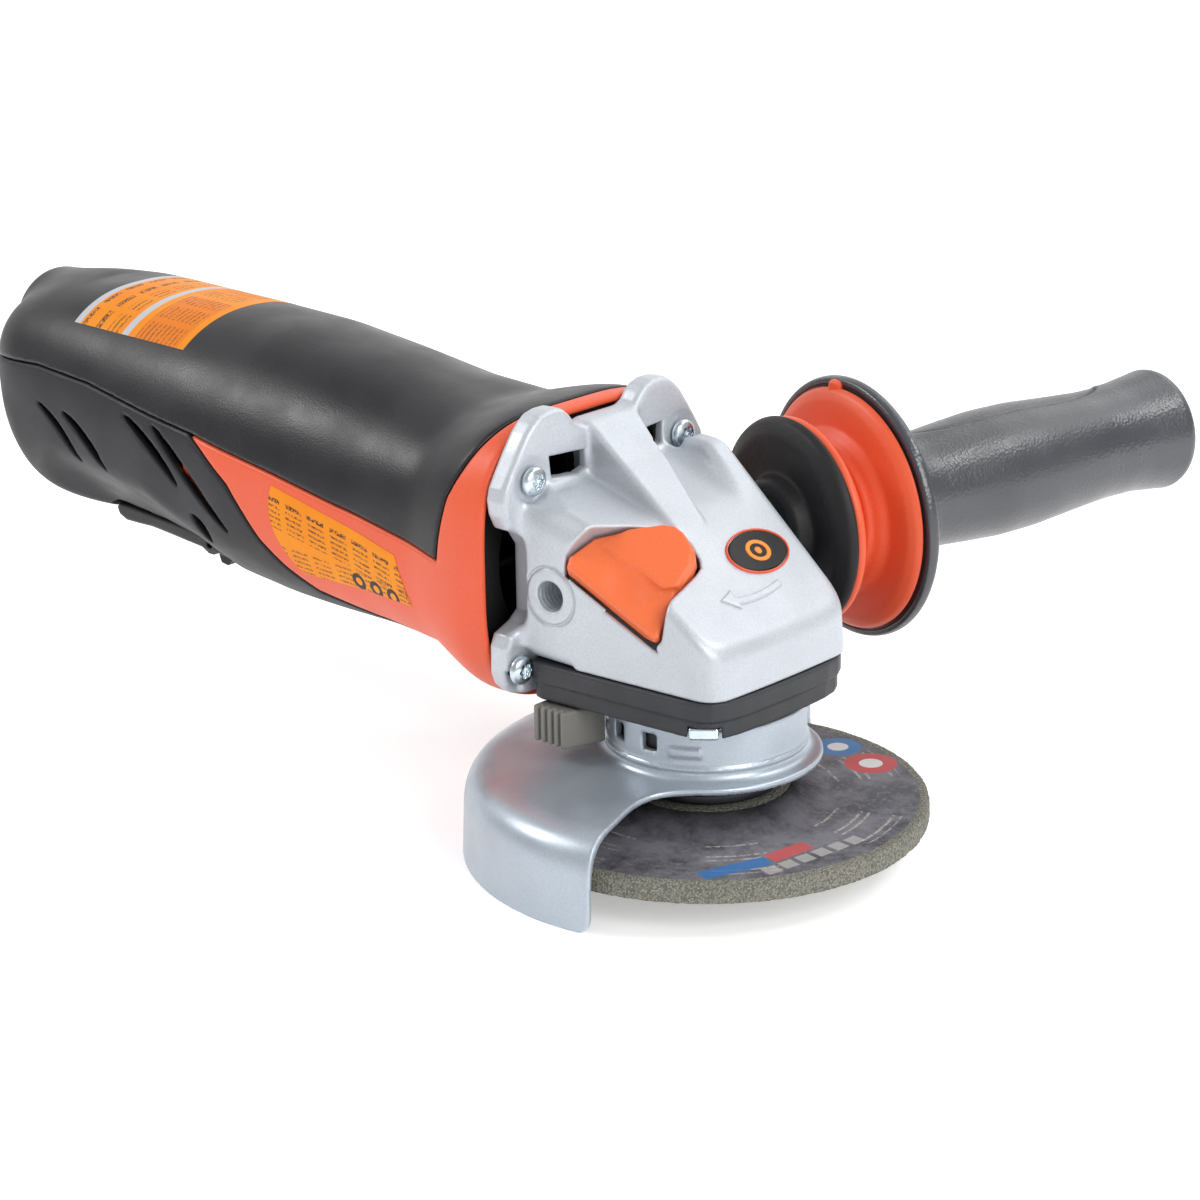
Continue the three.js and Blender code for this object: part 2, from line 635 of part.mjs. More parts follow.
// The crown gear: its teeth face up, and 12 holes in the web take the lock pin.
function crownGear() {
  const apex = MOTOR_AXIS;
  const teeth = bevelTeeth(CROWN_TEETH, CROWN_CONE, Math.PI / CROWN_TEETH)
    .rotate([180, 0, 0])
    .translate([0, 0, apex]);
  const blank = turned([
    [SPINDLE_SHAFT + GAP, 48.5], [9, 48.5], [10, 55.5], [CROWN_PITCH, 58], [CROWN_PITCH, PITCH_PLANE - 1],
    [CROWN_PITCH - FACE_WIDTH, PITCH_PLANE + 0.8], [CROWN_PITCH - FACE_WIDTH - 0.3, 61], [8, 61], [8, 64.5],
    [SPINDLE_SHAFT + GAP, 64.5],
  ], 30);
  let gear = blank.add(teeth);
  for (let i = 0; i < 12; i += 1) {
    const angle = (i * Math.PI) / 6;
    gear = gear.subtract(diskZ(LOCK_PIN_RADIUS + 0.25, 57.8, 64, 8, LOCK_PIN.y * Math.sin(angle), LOCK_PIN.y * Math.cos(angle)));
  }
  return gear;
}

// ---------------------------------------------------------------- armature group

function pinion() {
  const teeth = bevelTeeth(PINION_TEETH, PINION_CONE, 0)
    .rotate([0, -90, 0])
    .translate([0, 0, MOTOR_AXIS]);
  const large = PINION_PITCH - 1.0;
  const small = large * 0.7;
  const blank = turned([
    [3.2 + GAP, -CROWN_PITCH + 5.3], [small, -CROWN_PITCH + 5.3], [large, -CROWN_PITCH - 0.6], [7.4, -CROWN_PITCH - 1.2],
    [7.4, -32.2], [3.2 + GAP, -32.2],
  ], 24, vec(0, 0, MOTOR_AXIS), vec(1, 0, 0));
  return blank.add(teeth);
}

function armatureShaft() {
  return turned([
    [0, -176], [3.9, -176], [3.9, -166], [5, -165.5], [5, -32.5], [3.2, -32.5], [3.2, -14.2], [0, -14.2],
  ], 24, vec(0, 0, MOTOR_AXIS), vec(1, 0, 0));
}

function rotorCore() {
  let core = ringX(17.2, 5 + GAP, -126, -84);
  for (let i = 0; i < 12; i += 1) {
    const angle = (i * Math.PI) / 6;
    const slot = box(-130, -80, -0.9, 0.9, 11, 19)
      .rotate([THREE.MathUtils.radToDeg(angle), 0, 0])
      .translate([0, 0, MOTOR_AXIS]);
    core = core.subtract(slot);
  }
  return core;
}

function fan() {
  let wheel = ringX(31, 5 + GAP, -62, -60.5).add(ringX(9, 5 + GAP, -62, -52));
  for (let i = 0; i < 12; i += 1) {
    const blade = box(-61, -52, -0.7, 0.7, 8, 30)
      .rotate([i * 30, 0, 0])
      .translate([0, 0, MOTOR_AXIS]);
    wheel = wheel.add(blade);
  }
  return wheel;
}

function commutator() {
  return ringX(11.5, 5 + GAP, -156, -140, 24);
}

// ---------------------------------------------------------------- guard group

function guard() {
  const collar = turned([
    [GUARD_COLLAR_INNER, 19], [GUARD_LIP, 19], [GUARD_LIP, GUARD_DECK_TOP], [30, 22.4],
    [GUARD_COLLAR_OUTER, 24], [GUARD_COLLAR_OUTER, PLATE_BOTTOM - 0.5], [GUARD_COLLAR_INNER, PLATE_BOTTOM - 0.5],
  ], 36);
  const bowl = turned([
    [GUARD_COLLAR_INNER, GUARD_DECK_TOP - GUARD_WALL - 0.2], [62, GUARD_RIM_TOP - GUARD_WALL],
    [66.2, 11.5], [GUARD_OUTER - GUARD_WALL, GUARD_SKIRT_BOTTOM], [GUARD_OUTER, GUARD_SKIRT_BOTTOM],
    [68.1, 12.5], [65.5, GUARD_RIM_TOP], [61, GUARD_RIM_TOP + 1.1], [GUARD_COLLAR_INNER, GUARD_DECK_TOP],
  ], 48);
  const sector = [[0, 0]];
  for (let i = 0; i <= 6; i += 1) {
    const angle = THREE.MathUtils.lerp(GUARD_FROM, GUARD_TO, i / 6);
    sector.push([90 * Math.cos(angle), 90 * Math.sin(angle)]);
  }
  const half = bowl.intersect(prismZ(sector, -20, 30));
  let piece = collar.add(half);
  for (const degrees of [-108, -83, 72, 97]) {
    const window = box(24, 30, -2.4, 2.4, 28, 33).rotate([0, 0, degrees]);
    piece = piece.subtract(window);
  }
  return piece;
}

const LEVER_PIVOT = vec(-28.5, -31, 0);

function guardLever() {
  const outline = [
    [-31.5, -28.5], [-31.5, -36.5], [-20.5, -36.5], [-19, -32.5], [-17, -27], [-16.2, -24.2],
    [-17.8, -22.8], [-21.5, -26.2], [-28, -26.2],
  ];
  let lever = prismZ(outline, 24.4, PLATE_BOTTOM - 0.6);
  lever = lever.subtract(rod(1.7, vec(LEVER_PIVOT.x, LEVER_PIVOT.y, 20), vec(LEVER_PIVOT.x, LEVER_PIVOT.y, 40)));
  for (let i = 0; i < 4; i += 1) {
    const x = -30.2 + i * 2.5;
    lever = lever.subtract(box(x, x + 1.1, -41, -35.4, 20, 40));
  }
  return lever;
}

// ---------------------------------------------------------------- side handle group

function handlePiece(profile, sides = ROUND) {
  return turned(profile, sides, SOCKET, HANDLE_AXIS);
}

function handleDisc() {
  return handlePiece([
    [STUD_RADIUS + GAP, 44], [12, 44], [14, 45.5], [15, 50], [26, 49.2], [30.4, 51.2], [31.2, 53.2],
    [30.4, 54.2], [26, 52.4], [16.5, 53.6], [12, 57.5], [STUD_RADIUS + GAP, 57.5],
  ]);
}

function handleSleeve() {
  return handlePiece([
    [STUD_RADIUS + GAP, 57.8], [12.4, 57.8], [16.8, 54.0], [26, 52.8], [30.2, 54.6], [30.6, 57],
    [25, 57.8], [19, 60.5], [18, 64], [18.4, 66.4], [23, 67.4], [25, 69.4], [31, 70], [35, 71.2],
    [36, 72.6], [35.4, 73.4], [STUD_RADIUS + GAP, 73.4],
  ]);
}

function handleGrip() {
  return handlePiece([
    [STUD_RADIUS + GAP, 73.7], [37.4, 73.7], [38.8, 74.9], [38.7, 76.4], [37, 77.6], [25, 79], [20.5, 81],
    [18, 87], [17.2, 96], [18.4, 110], [19.4, 124], [19.2, 138], [18, 152], [17, 166], [17, 178],
    [18.2, 188], [18.8, 192], [17.6, 194.2], [15, 195], [7.5, 195], [7.5, 190], [STUD_RADIUS + GAP, 190],
  ]);
}

function handleStud() {
  return handlePiece([
    [0, 25], [STUD_RADIUS - 0.8, 25], [STUD_RADIUS, 25.8], [STUD_RADIUS, 187.5], [0, 187.5],
  ], 16);
}

// ---------------------------------------------------------------- motor body group

const BARREL_INNER = 28.3;
const BARREL_OUTER = 30;
const BRUSH_X = -148;

function motorHousing() {
  const rearEnd = -178;
  const front = CASE_REAR - GAP;
  const orangeZone = bodyLoft(front, rearEnd, 0)
    .subtract(aboveSeam(-GAP / 2))
    .subtract(lowerShellRegion(-GAP / 2));
  const skin = orangeZone.subtract(bodyLoft(CASE_REAR + 2, rearEnd - 2, BODY_WALL));
  const barrel = ringX(BARREL_OUTER, BARREL_INNER, -135, -66);
  const tail = ringX(21, 18.5, -175, -133);
  const bearingHouse = ringX(14, 11 + GAP, -174, -164);
  const room = bodyLoft(CASE_REAR, rearEnd - 4, BODY_WALL + GAP).add(orangeZone);
  const webs = [[-69, -66, BARREL_INNER], [-136, -133, 18.5], [-175, -173, 12]].map(([x0, x1, bore]) =>
    box(x0, x1, -60, 60, 20, 130).intersect(room).subtract(diskX(bore, x0 - 1, x1 + 1)),
  );
  let housing = join(skin, barrel, tail, bearingHouse, ...webs);
  for (const [y, z] of CASE_SCREWS) {
    housing = housing.add(diskX(4.6, -68, front, SMALL_ROUND, y, z).intersect(room));
    housing = housing.subtract(diskX(2.2, -58, -30, SMALL_ROUND, y, z));
  }
  for (const side of [-1, 1]) {
    housing = housing.subtract(rod(5.6, vec(BRUSH_X, 0, MOTOR_AXIS), vec(BRUSH_X, side * 30, MOTOR_AXIS), 16));
  }
  const half = PADDLE_HALF_WIDTH + 1;
  return housing.subtract(box(-200, PADDLE_PIVOT.x + 8, -half, half, 20, 47));
}

const GLAND_HEIGHT = 97;
const GLAND_RADIUS = 17.2;

function topCover() {
  const outer = bodyLoft(COVER_FRONT, BODY_REAR, 0);
  const inner = bodyLoft(COVER_FRONT + 2, BODY_REAR + 3, BODY_WALL);
  const boss = diskX(GLAND_RADIUS, -283, -262, ROUND, 0, GLAND_HEIGHT);
  const bossRoom = diskX(9.3, -290, -258, ROUND, 0, GLAND_HEIGHT);
  const skin = outer.subtract(inner).intersect(aboveSeam(GAP / 2));
  return skin.add(boss).subtract(bossRoom);
}

function outsideBody(x0, x1) {
  return box(x0, x1, -60, 60, 10, 140).subtract(bodyLoft(x1 + 1, x0 - 1, 0.2));
}

function lowerShell() {
  const outer = bodyLoft(-74, BODY_REAR, 0);
  const inner = bodyLoft(-72, BODY_REAR + 3, BODY_WALL);
  let shell = outer.subtract(inner).intersect(lowerShellRegion(GAP / 2));
  const half = PADDLE_HALF_WIDTH + 0.8;
  shell = shell.subtract(box(PADDLE_REAR - 1.2, PADDLE_PIVOT.x + 8, -half, half, 20, 60));
  for (const side of [-1, 1]) {
    const middle = side * (half + 2.6);
    const ear = box(-158, -146, middle - 2.4, middle + 2.4, 33, 47).subtract(outsideBody(-160, -144));
    shell = shell.add(ear);
  }
  for (const [rear, front, width] of AIR_SLOTS) shell = shell.subtract(airSlot(rear, front, width));
  const pinHeight = PADDLE_PIVOT.z;
  shell = shell.subtract(rod(1.7, vec(PADDLE_PIVOT.x, -40, pinHeight), vec(PADDLE_PIVOT.x, 40, pinHeight)));
  return shell.subtract(diskX(GLAND_RADIUS + GAP, -290, -260, ROUND, 0, GLAND_HEIGHT));
}

// ---------------------------------------------------------------- handle controls

// The paddle under the handle: it hangs from a pin at its front and is squeezed at its rear.
function paddle() {
  const side = [
    [-147, 36.5], [-146.5, 40], [-150, 42.5], [-160, 42], [-200, 43], [-236, 45], [-241, 45], [-243.2, 43],
    [-242, 40.4], [-238.5, 39], [-233, 39.1], [-226, 39.4], [-216, 38.8], [-205, 38], [-192, 37.2],
    [-175, 35.8], [-158, 34], [-151, 34.4],
  ];
  const hollowSide = [[-158, 36.6], [-158, 60], [-234, 60], [-234, 41.5], [-205, 40.2], [-175, 38.2]];
  const wall = PADDLE_HALF_WIDTH - 3;
  const slot = box(LOCK_OFF_X - 8, LOCK_OFF_X + 9, -4.4, 4.4, 20, 70);
  const boss = box(-201, -193, -9.2, 9.2, 38, 43).subtract(slot);
  return prismY(side, -PADDLE_HALF_WIDTH, PADDLE_HALF_WIDTH)
    .subtract(prismY(hollowSide, -wall, wall))
    .subtract(slot)
    .add(boss)
    .subtract(pinAcross(1.64, PADDLE_PIVOT.x, PADDLE_PIVOT.z, 30))
    .subtract(pinAcross(1.34, LOCK_OFF_X, LOCK_OFF_Z, 8));
}

function pinAcross(radius, x, z, half) {
  return rod(radius, vec(x, -half, z), vec(x, half, z));
}

function lockOffLever() {
  const side = [[-2.6, 2.5], [-3, -2.5], [-5, -6.5], [-4, -8.9], [-1, -9.3], [2, -6.5], [2.8, -1.5], [2.4, 2.5]];
  const placed = side.map(([x, z]) => [LOCK_OFF_X + x, LOCK_OFF_Z + z]);
  return prismY(placed, -4, 4).subtract(pinAcross(1.34, LOCK_OFF_X, LOCK_OFF_Z, 10));
}

const SWITCH_PLUNGER = vec(-226, 0, 0);
const PLUNGER_BOTTOM = 41.8;

function switchBody() {
  const body = box(-240, -190, -11, 11, 57, 79);
  return body.subtract(diskZ(3 + RUNNING, 50, 72, SMALL_ROUND, SWITCH_PLUNGER.x, 0));
}

function switchPlunger() {
  return diskZ(3, PLUNGER_BOTTOM, 66, SMALL_ROUND, SWITCH_PLUNGER.x, 0);
}

function cordInlet() {
  return turned([
    [4.2, -291], [6.4, -291], [7.2, -284], [9, -283.4], [9, -262], [11.6, -262], [11.6, -258.5], [4.2, -258.5],
  ], 20, vec(0, 0, GLAND_HEIGHT), vec(1, 0, 0));
}

function airBaffle() {
  return ringX(35, 27, -65.6, -64);
}

function statorCore() {
  let core = ringX(28, 17.8, -126, -84);
  for (const side of [-1, 1]) {
    const slot = box(-130, -80, side > 0 ? 18 : -23, side > 0 ? 23 : -18, MOTOR_AXIS - 9, MOTOR_AXIS + 9);
    core = core.subtract(slot);
  }
  return core;
}

function statorCoil(x0, x1) {
  return ringX(26.5, 18.4, x0, x1);
}

function brushHolder(side) {
  const base = vec(BRUSH_X, side * 12.6, MOTOR_AXIS);
  const tip = vec(BRUSH_X, side * 29, MOTOR_AXIS);
  const outer = rod(5.3, base, tip, 16);
  const room = box(BRUSH_X - 3.2, BRUSH_X + 3.2, -27.5, 27.5, MOTOR_AXIS - 2.2, MOTOR_AXIS + 2.2);
  return outer.subtract(room);
}

function brush(side) {
  const [near, far] = side > 0 ? [12, 22] : [-22, -12];
  return box(BRUSH_X - 3.1, BRUSH_X + 3.1, near, far, MOTOR_AXIS - 2.1, MOTOR_AXIS + 2.1);
}

function brushSpring(side) {
  const base = vec(BRUSH_X, side * 22.2, MOTOR_AXIS);
  return helix(1.5, 0.28, 4.9, 4, base, vec(0, side, 0));
}

// ---------------------------------------------------------------- badge and labels

const BADGE_CENTRE = [7.6, 12.6];
const BADGE_ACROSS = 11.8;
const BADGE_ALONG = 7.6;

// An oval disc lying on the slope.
function badge() {
  const [x, y] = BADGE_CENTRE;
  const tilt = THREE.MathUtils.radToDeg(Math.atan(-CASE_SLOPE));
  return diskZ(1, 0.1, 0.7, 32)
    .scale([BADGE_ALONG, BADGE_ACROSS, 1])
    .rotate([0, tilt, 0])
    .translate([x, y, slopeHeight(x)]);
}

// ---------------------------------------------------------------- assembly

// Tool body
place("gear_case", gearCase(), "cast");
place("base_plate", basePlate(), "plate");
place("motor_housing", motorHousing(), "orange");
place("top_cover", topCover(), "black");
place("lower_shell", lowerShell(), "charcoal");
place("cord_inlet", cordInlet(), "rubber");
place("air_baffle", airBaffle(), "charcoal");

CASE_SCREWS.forEach(([y, z], i) => {
  const base = vec(CASE_FLANGE_FRONT + 3.2, y, z);
  place(`case_screw_${i + 1}`, screw(4.2, 2.9, 2.0, 20, base, vec(-1, 0, 0)), "zinc");
});
PLATE_SCREWS.forEach(([x, y], i) => {
  const base = vec(x, y, PLATE_BOTTOM + 0.4);
  place(`plate_screw_${i + 1}`, screw(3.7, 2.6, 1.6, 18, base, vec(0, 0, 1)), "zinc");
});

place("spindle_bearing", ringZ(16, SPINDLE_SHAFT + RUNNING, 37.8, 47), "steel");
place("spindle_bush", ringZ(5.2, 3.4 + RUNNING, 67, SPINDLE_TOP + 0.5, 24), "steel");
place("front_bearing", ringX(15, 5 + RUNNING, CASE_REAR + 0.4, -34.2), "steel");
place("rear_bearing", ringX(11, 3.9 + RUNNING, -173.5, -166.5, 24), "steel");
place("stator_core", statorCore(), "laminate");
place("stator_coil_front", statorCoil(-83.6, -74), "copper");
place("stator_coil_rear", statorCoil(-132.6, -126.4), "copper");
place("switch_body", switchBody(), "rubber");
place("electronics_board", box(-252, -244, -18, 18, 55, 76), "board");

// Spindle group
place("spindle", spindle(), "steel");
place("crown_gear", crownGear(), "darkSteel");
place("inner_flange", innerFlange(), "darkSteel");
place("grinding_wheel", grindingWheel(), "abrasive");
place("clamp_nut", clampNut(), "darkSteel");

// Armature group
place("armature_shaft", armatureShaft(), "steel");
place("pinion", pinion(), "darkSteel");
place("rotor_core", rotorCore(), "laminate");
place("commutator", commutator(), "copper");
place("fan", fan(), "rubber");

// Guard
place("guard", guard(), "guardSteel");
place("guard_lever", guardLever(), "lever");
const leverPin = rod(1.5, vec(LEVER_PIVOT.x, LEVER_PIVOT.y, 22.5), vec(LEVER_PIVOT.x, LEVER_PIVOT.y, 42.5));
place("guard_lever_pin", leverPin, "steel");

// Spindle lock
function lockButton() {
  const cap = buttonPrism(0, -4, 2.6);
  const ridge = buttonPrism(0, 2.5, 5, [[-10, -2], [2, 9], [5.5, 8], [7.5, 1], [4, -3]]);
  const arm = hull([
    [-7, -18, 71.8], [-7, -18, 75.2], [1.8, -18, 71.8], [1.8, -18, 75.2],
    [-2.4, -8.6, 72.9], [-2.4, -8.6, 75.1], [1.8, -8.6, 72.9], [1.8, -8.6, 75.1],
  ]);
  return join(cap, ridge, arm);
}
place("lock_button", lockButton(), "orange");
place("lock_pin", diskZ(LOCK_PIN_RADIUS, LOCK_PIN_TIP, LOCK_PIN_TOP, SMALL_ROUND, LOCK_PIN.x, LOCK_PIN.y), "steel");

// Handle controls
place("paddle", paddle(), "black");
place("paddle_pin", pinAcross(1.5, PADDLE_PIVOT.x, PADDLE_PIVOT.z, 17), "steel");
place("lock_off_lever", lockOffLever(), "charcoal");
place("lock_off_pin", pinAcross(1.2, LOCK_OFF_X, LOCK_OFF_Z, 7.6), "steel");
place("switch_plunger", switchPlunger(), "rubber");
for (const [name, side] of [["left", 1], ["right", -1]]) {
  place(`brush_holder_${name}`, brushHolder(side), "label");
  place(`brush_${name}`, brush(side), "carbon");
  place(`brush_spring_${name}`, brushSpring(side), "steel");
}

// Side handle
place("handle_stud", handleStud(), "zinc");
place("handle_disc", handleDisc(), "rubber");
place("handle_sleeve", handleSleeve(), "orange");
place("handle_grip", handleGrip(), "black");

// Badge and labels
place("badge", badge(), "rubber");

export default tool;
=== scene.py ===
"""The looks of a corded angle grinder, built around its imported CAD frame. Shapes are worked out in
millimetres in the row frame and turned into metres when the mesh is made."""

import functools
import math

import bpy
import numpy as np
from mathutils import Matrix, Vector


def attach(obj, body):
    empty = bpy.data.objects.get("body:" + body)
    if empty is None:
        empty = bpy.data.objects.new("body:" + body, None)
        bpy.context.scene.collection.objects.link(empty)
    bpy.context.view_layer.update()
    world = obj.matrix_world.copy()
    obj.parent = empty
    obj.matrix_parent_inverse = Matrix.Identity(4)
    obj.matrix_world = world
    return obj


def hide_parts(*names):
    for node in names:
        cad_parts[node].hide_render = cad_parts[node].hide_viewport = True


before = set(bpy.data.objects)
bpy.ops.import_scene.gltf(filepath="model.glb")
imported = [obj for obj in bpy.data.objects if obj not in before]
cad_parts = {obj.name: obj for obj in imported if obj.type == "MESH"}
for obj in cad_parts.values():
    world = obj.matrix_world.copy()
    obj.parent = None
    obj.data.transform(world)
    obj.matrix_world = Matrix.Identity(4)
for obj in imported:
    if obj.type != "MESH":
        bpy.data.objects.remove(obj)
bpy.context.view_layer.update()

MM = 0.001
RANDOM = np.random.default_rng(7)



def unit(vector):
    return np.array(vector, dtype=float) / np.linalg.norm(vector)


# ---- dimensions shared with the CAD

CASE_REAR, FLANGE_FRONT, CASE_NOSE = -44.0, -36.5, 26.0
SLOPE_TOP, NOSE_TOP = 109.0, 62.0
SLOPE = (SLOPE_TOP - NOSE_TOP) / (CASE_NOSE - FLANGE_FRONT)
SHOULDER_TOP, SHOULDER_FRONT = 94.5, -5.0
MOTOR_AXIS = 69.5
PLATE_BOTTOM, PLATE_TOP = 36.0, 47.0
SOCKET = np.array([-25.1, 0.0, 69.0])
HANDLE_AXIS = unit([0.24, 1.0, 0.03])
FAR_SOCKET_AXIS = unit([0.09, -1.0, 0.0])
FAR_SOCKET = np.array([-30.1, 0.0, 67.0])
BUTTON_CENTRE = np.array([-2.7, -21.6, 75.9])
BUTTON_OUT = unit([0.414, -0.579, 0.702])
BUTTON_LONG = np.array([30.0, 3.0, -15.2])
BUTTON_ALONG = unit(BUTTON_LONG - BUTTON_OUT * (BUTTON_LONG @ BUTTON_OUT))
BUTTON_ACROSS = np.cross(BUTTON_OUT, BUTTON_ALONG)
BUTTON_OUTLINE = [
    (-17, -13.4), (-18.6, -10.7), (-17.3, -2), (-11.7, 6), (-5.6, 13), (-2.6, 14.8), (0.8, 14.8),
    (6, 13), (8.2, 11.3), (9.3, 8.5), (12.4, -3.6), (16.4, -12), (15.8, -13.4),
]
CASE_SCREWS = [(-30.5, 97.5), (30.5, 97.5), (-37, 44.5), (37, 44.5)]
PLATE_SCREWS = [(-29.5, -20.5), (-29.5, 20.5), (20.5, -21), (20.5, 21)]
BODY_STATIONS = np.array([
    [-277, 30, 66, 110, 2.6], [-270, 34, 54, 113, 2.6], [-262, 36.4, 46, 115, 2.6],
    [-246, 38, 42, 116.4, 2.5], [-220, 39.8, 38.5, 116.7, 2.3], [-190, 41.6, 35.4, 116.7, 2.2],
    [-158, 42.2, 33.8, 116.2, 2.15], [-128, 41, 33.2, 113.4, 2.15], [-100, 39.8, 33.8, 109.8, 2.2],
    [-75, 41, 34, 107.4, 2.5], [-63, 43.4, 30.6, 110.6, 2.9], [-54, 44.5, 28.4, 112.4, 3.2],
    [-44, 43, 29.4, 111.4, 3.4],
])
SEAM = [
    (-62, 72.2), (-107, 78), (-133, 82.3), (-168, 87.5), (-189, 89.6), (-221, 93.4), (-247, 94.4),
    (-285, 91.5),
]
COVER_FRONT = [(-49.5, 118), (-49.5, 112.7), (-51.5, 106.6), (-54.5, 99), (-58.4, 90.8), (-61, 79)]
PANEL_EDGE = [
    (-170, 87.7), (-163.5, 83.6), (-152, 75.5), (-146, 68), (-140.6, 60.2), (-133, 52.5), (-124, 45.8),
    (-104, 41), (-78, 38.8),
]
AIR_SLOTS = [
    ((-246, 83), (-225, 67.5), 3.0), ((-232.5, 82.5), (-211.5, 67.5), 3.3),
    ((-201, 87.5), (-174.5, 70.5), 3.4), ((-187, 87), (-154.5, 59.5), 3.6),
    ((-170.5, 62.5), (-167.5, 53), 4.6),
]
GLAND_HEIGHT, GLAND_RADIUS = 97.0, 17.2
BODY_REAR, BOSS_REAR = -277.0, -283.0
WALL = 2.6
PADDLE_PIVOT = (-152.0, 38.5)
LOCK_OFF = (-197.0, 40.0)
LEVER_PIVOT = (-28.5, -31.0)

# ---- distance fields


def smin(a, b, k):
    h = np.maximum(k - np.abs(a - b), 0) / k
    return np.minimum(a, b) - h * h * k * 0.25


def smax(a, b, k):
    h = np.maximum(k - np.abs(a - b), 0) / k
    return np.maximum(a, b) + h * h * k * 0.25


def meet(*fields):
    """Where all of the forms are."""
    return functools.reduce(np.maximum, fields)


def join(*fields):
    """Where any of the forms is."""
    return functools.reduce(np.minimum, fields)


def carve(body, *tool):
    """The body without the place where all of the tool's forms are."""
    return meet(body, -meet(*tool))


def slab(x, low, high):
    return np.maximum(low - x, x - high)


def disc(u, v, radius):
    return np.sqrt(u * u + v * v) - radius


def smoothstep(low, high, x):
    t = np.clip((x - low) / (high - low), 0, 1)
    return t * t * (3 - 2 * t)


def polygon(u, v, points):
    """Signed distance to a closed outline, negative inside."""
    best = None
    sign = 1.0
    for (xi, yi), (xj, yj) in zip(points, points[-1:] + points[:-1]):
        ex, ey = xj - xi, yj - yi
        wx, wy = u - xi, v - yi
        t = np.clip((wx * ex + wy * ey) / (ex * ex + ey * ey), 0, 1)
        d = (wx - ex * t) ** 2 + (wy - ey * t) ** 2
        best = d if best is None else np.minimum(best, d)
        above, below = v >= yi, v < yj
        left = ex * wy > ey * wx
        flip = (above & below & left) | (~above & ~below & ~left)
        sign = np.where(flip, -sign, sign)
    return sign * np.sqrt(best)


def local(x, y, z, origin, axes):
    """Coordinates along each of the axes, from an origin."""
    dx, dy, dz = x - origin[0], y - origin[1], z - origin[2]
    return [dx * a[0] + dy * a[1] + dz * a[2] for a in axes]


def along_axis(x, y, z, base, axis):
    """Distance along an axis from base, and distance off it."""
    dx, dy, dz = x - base[0], y - base[1], z - base[2]
    s = dx * axis[0] + dy * axis[1] + dz * axis[2]
    off = np.sqrt(np.maximum(dx * dx + dy * dy + dz * dz - s * s, 1e-9))
    return s, off


# ---- meshing

OFFSETS = [np.array(o) for o in np.ndindex(2, 2, 2)]
CELL_EDGES = [(a, b) for a in OFFSETS for b in OFFSETS if (b - a).sum() == 1 and (b - a).min() == 0]


def new_object(name, verts, faces, material):
    """A smooth-shaded object from points in millimetres and four-cornered faces."""
    mesh = bpy.data.meshes.new(name)
    verts = np.asarray(verts, dtype=np.float64) * MM
    faces = np.asarray(faces, dtype=np.int32)
    mesh.vertices.add(len(verts))
    mesh.vertices.foreach_set("co", verts.astype(np.float32).ravel())
    mesh.loops.add(faces.size)
    mesh.loops.foreach_set("vertex_index", faces.ravel())
    mesh.polygons.add(len(faces))
    mesh.polygons.foreach_set("loop_start", np.arange(0, faces.size, 4, dtype=np.int32))
    mesh.update(calc_edges=True)
    mesh.validate()
    mesh.polygons.foreach_set("use_smooth", np.ones(len(mesh.polygons), dtype=bool))
    mesh.materials.append(material)
    obj = bpy.data.objects.new(name, mesh)
    bpy.context.scene.collection.objects.link(obj)
    return obj


def gradient(field, p, h):
    g = np.empty_like(p)
    for k in range(3):
        shift = np.zeros(3)
        shift[k] = h
        g[:, k] = (field(*(p + shift).T) - field(*(p - shift).T)) / (2 * h)
    return g


def skin(name, field, low, high, step, material):
    """Turns the zero level of a distance field into a mesh of quads."""
    axes = [np.arange(a - 2 * step, b + 3 * step, step) for a, b in zip(low, high)]
    x, y, z = axes[0][:, None, None], axes[1][None, :, None], axes[2][None, None, :]
    value = np.broadcast_to(field(x, y, z), [len(a) for a in axes]).astype(np.float32)
    inside = value < 0
    shape = np.array(inside.shape) - 1
    total = np.zeros(shape, dtype=np.uint8)
    for o in OFFSETS:
        total += inside[tuple(slice(k, k + n) for k, n in zip(o, shape))]
    active = (total > 0) & (total < 8)
    cells = np.argwhere(active)
    number = np.full(shape, -1, dtype=np.int32)
    number[active] = np.arange(len(cells))
    points = np.zeros((len(cells), 3))
    hits = np.zeros(len(cells))
    for a, b in CELL_EDGES:
        va, vb = value[tuple((cells + a).T)], value[tuple((cells + b).T)]
        crossed = (va < 0) != (vb < 0)
        t = va[crossed] / (va[crossed] - vb[crossed])
        points[crossed] += a + t[:, None] * (b - a)
        hits[crossed] += 1
    origin = np.array([a[0] for a in axes])
    points = origin + (cells + points / hits[:, None]) * step
    for _ in range(3):
        g = gradient(field, points, 0.15 * step)
        size = np.maximum((g * g).sum(1), 1e-4)
        move = (field(*points.T) / size)[:, None] * g
        length = np.linalg.norm(move, axis=1, keepdims=True)
        points -= move * np.minimum(1, 0.45 * step / np.maximum(length, 1e-9))
    faces = []
    for k in range(3):
        u, v = np.eye(3, dtype=int)[(k + 1) % 3], np.eye(3, dtype=int)[(k + 2) % 3]
        here = tuple(slice(None, -1) if i == k else slice(None) for i in range(3))
        ahead = tuple(slice(1, None) if i == k else slice(None) for i in range(3))
        grid = np.argwhere(inside[here] != inside[ahead])
        grid = grid[(grid[:, (k + 1) % 3] > 0) & (grid[:, (k + 2) % 3] > 0)]
        quad = np.stack([number[tuple((grid - d).T)] for d in (0 * u, u, u + v, v)], axis=1)
        flip = ~inside[tuple(grid.T)]
        quad[flip] = quad[flip][:, ::-1]
        faces.append(quad)
    faces = np.concatenate(faces)
    faces = faces[(faces >= 0).all(1)]
    return new_object(name, points, faces, material)


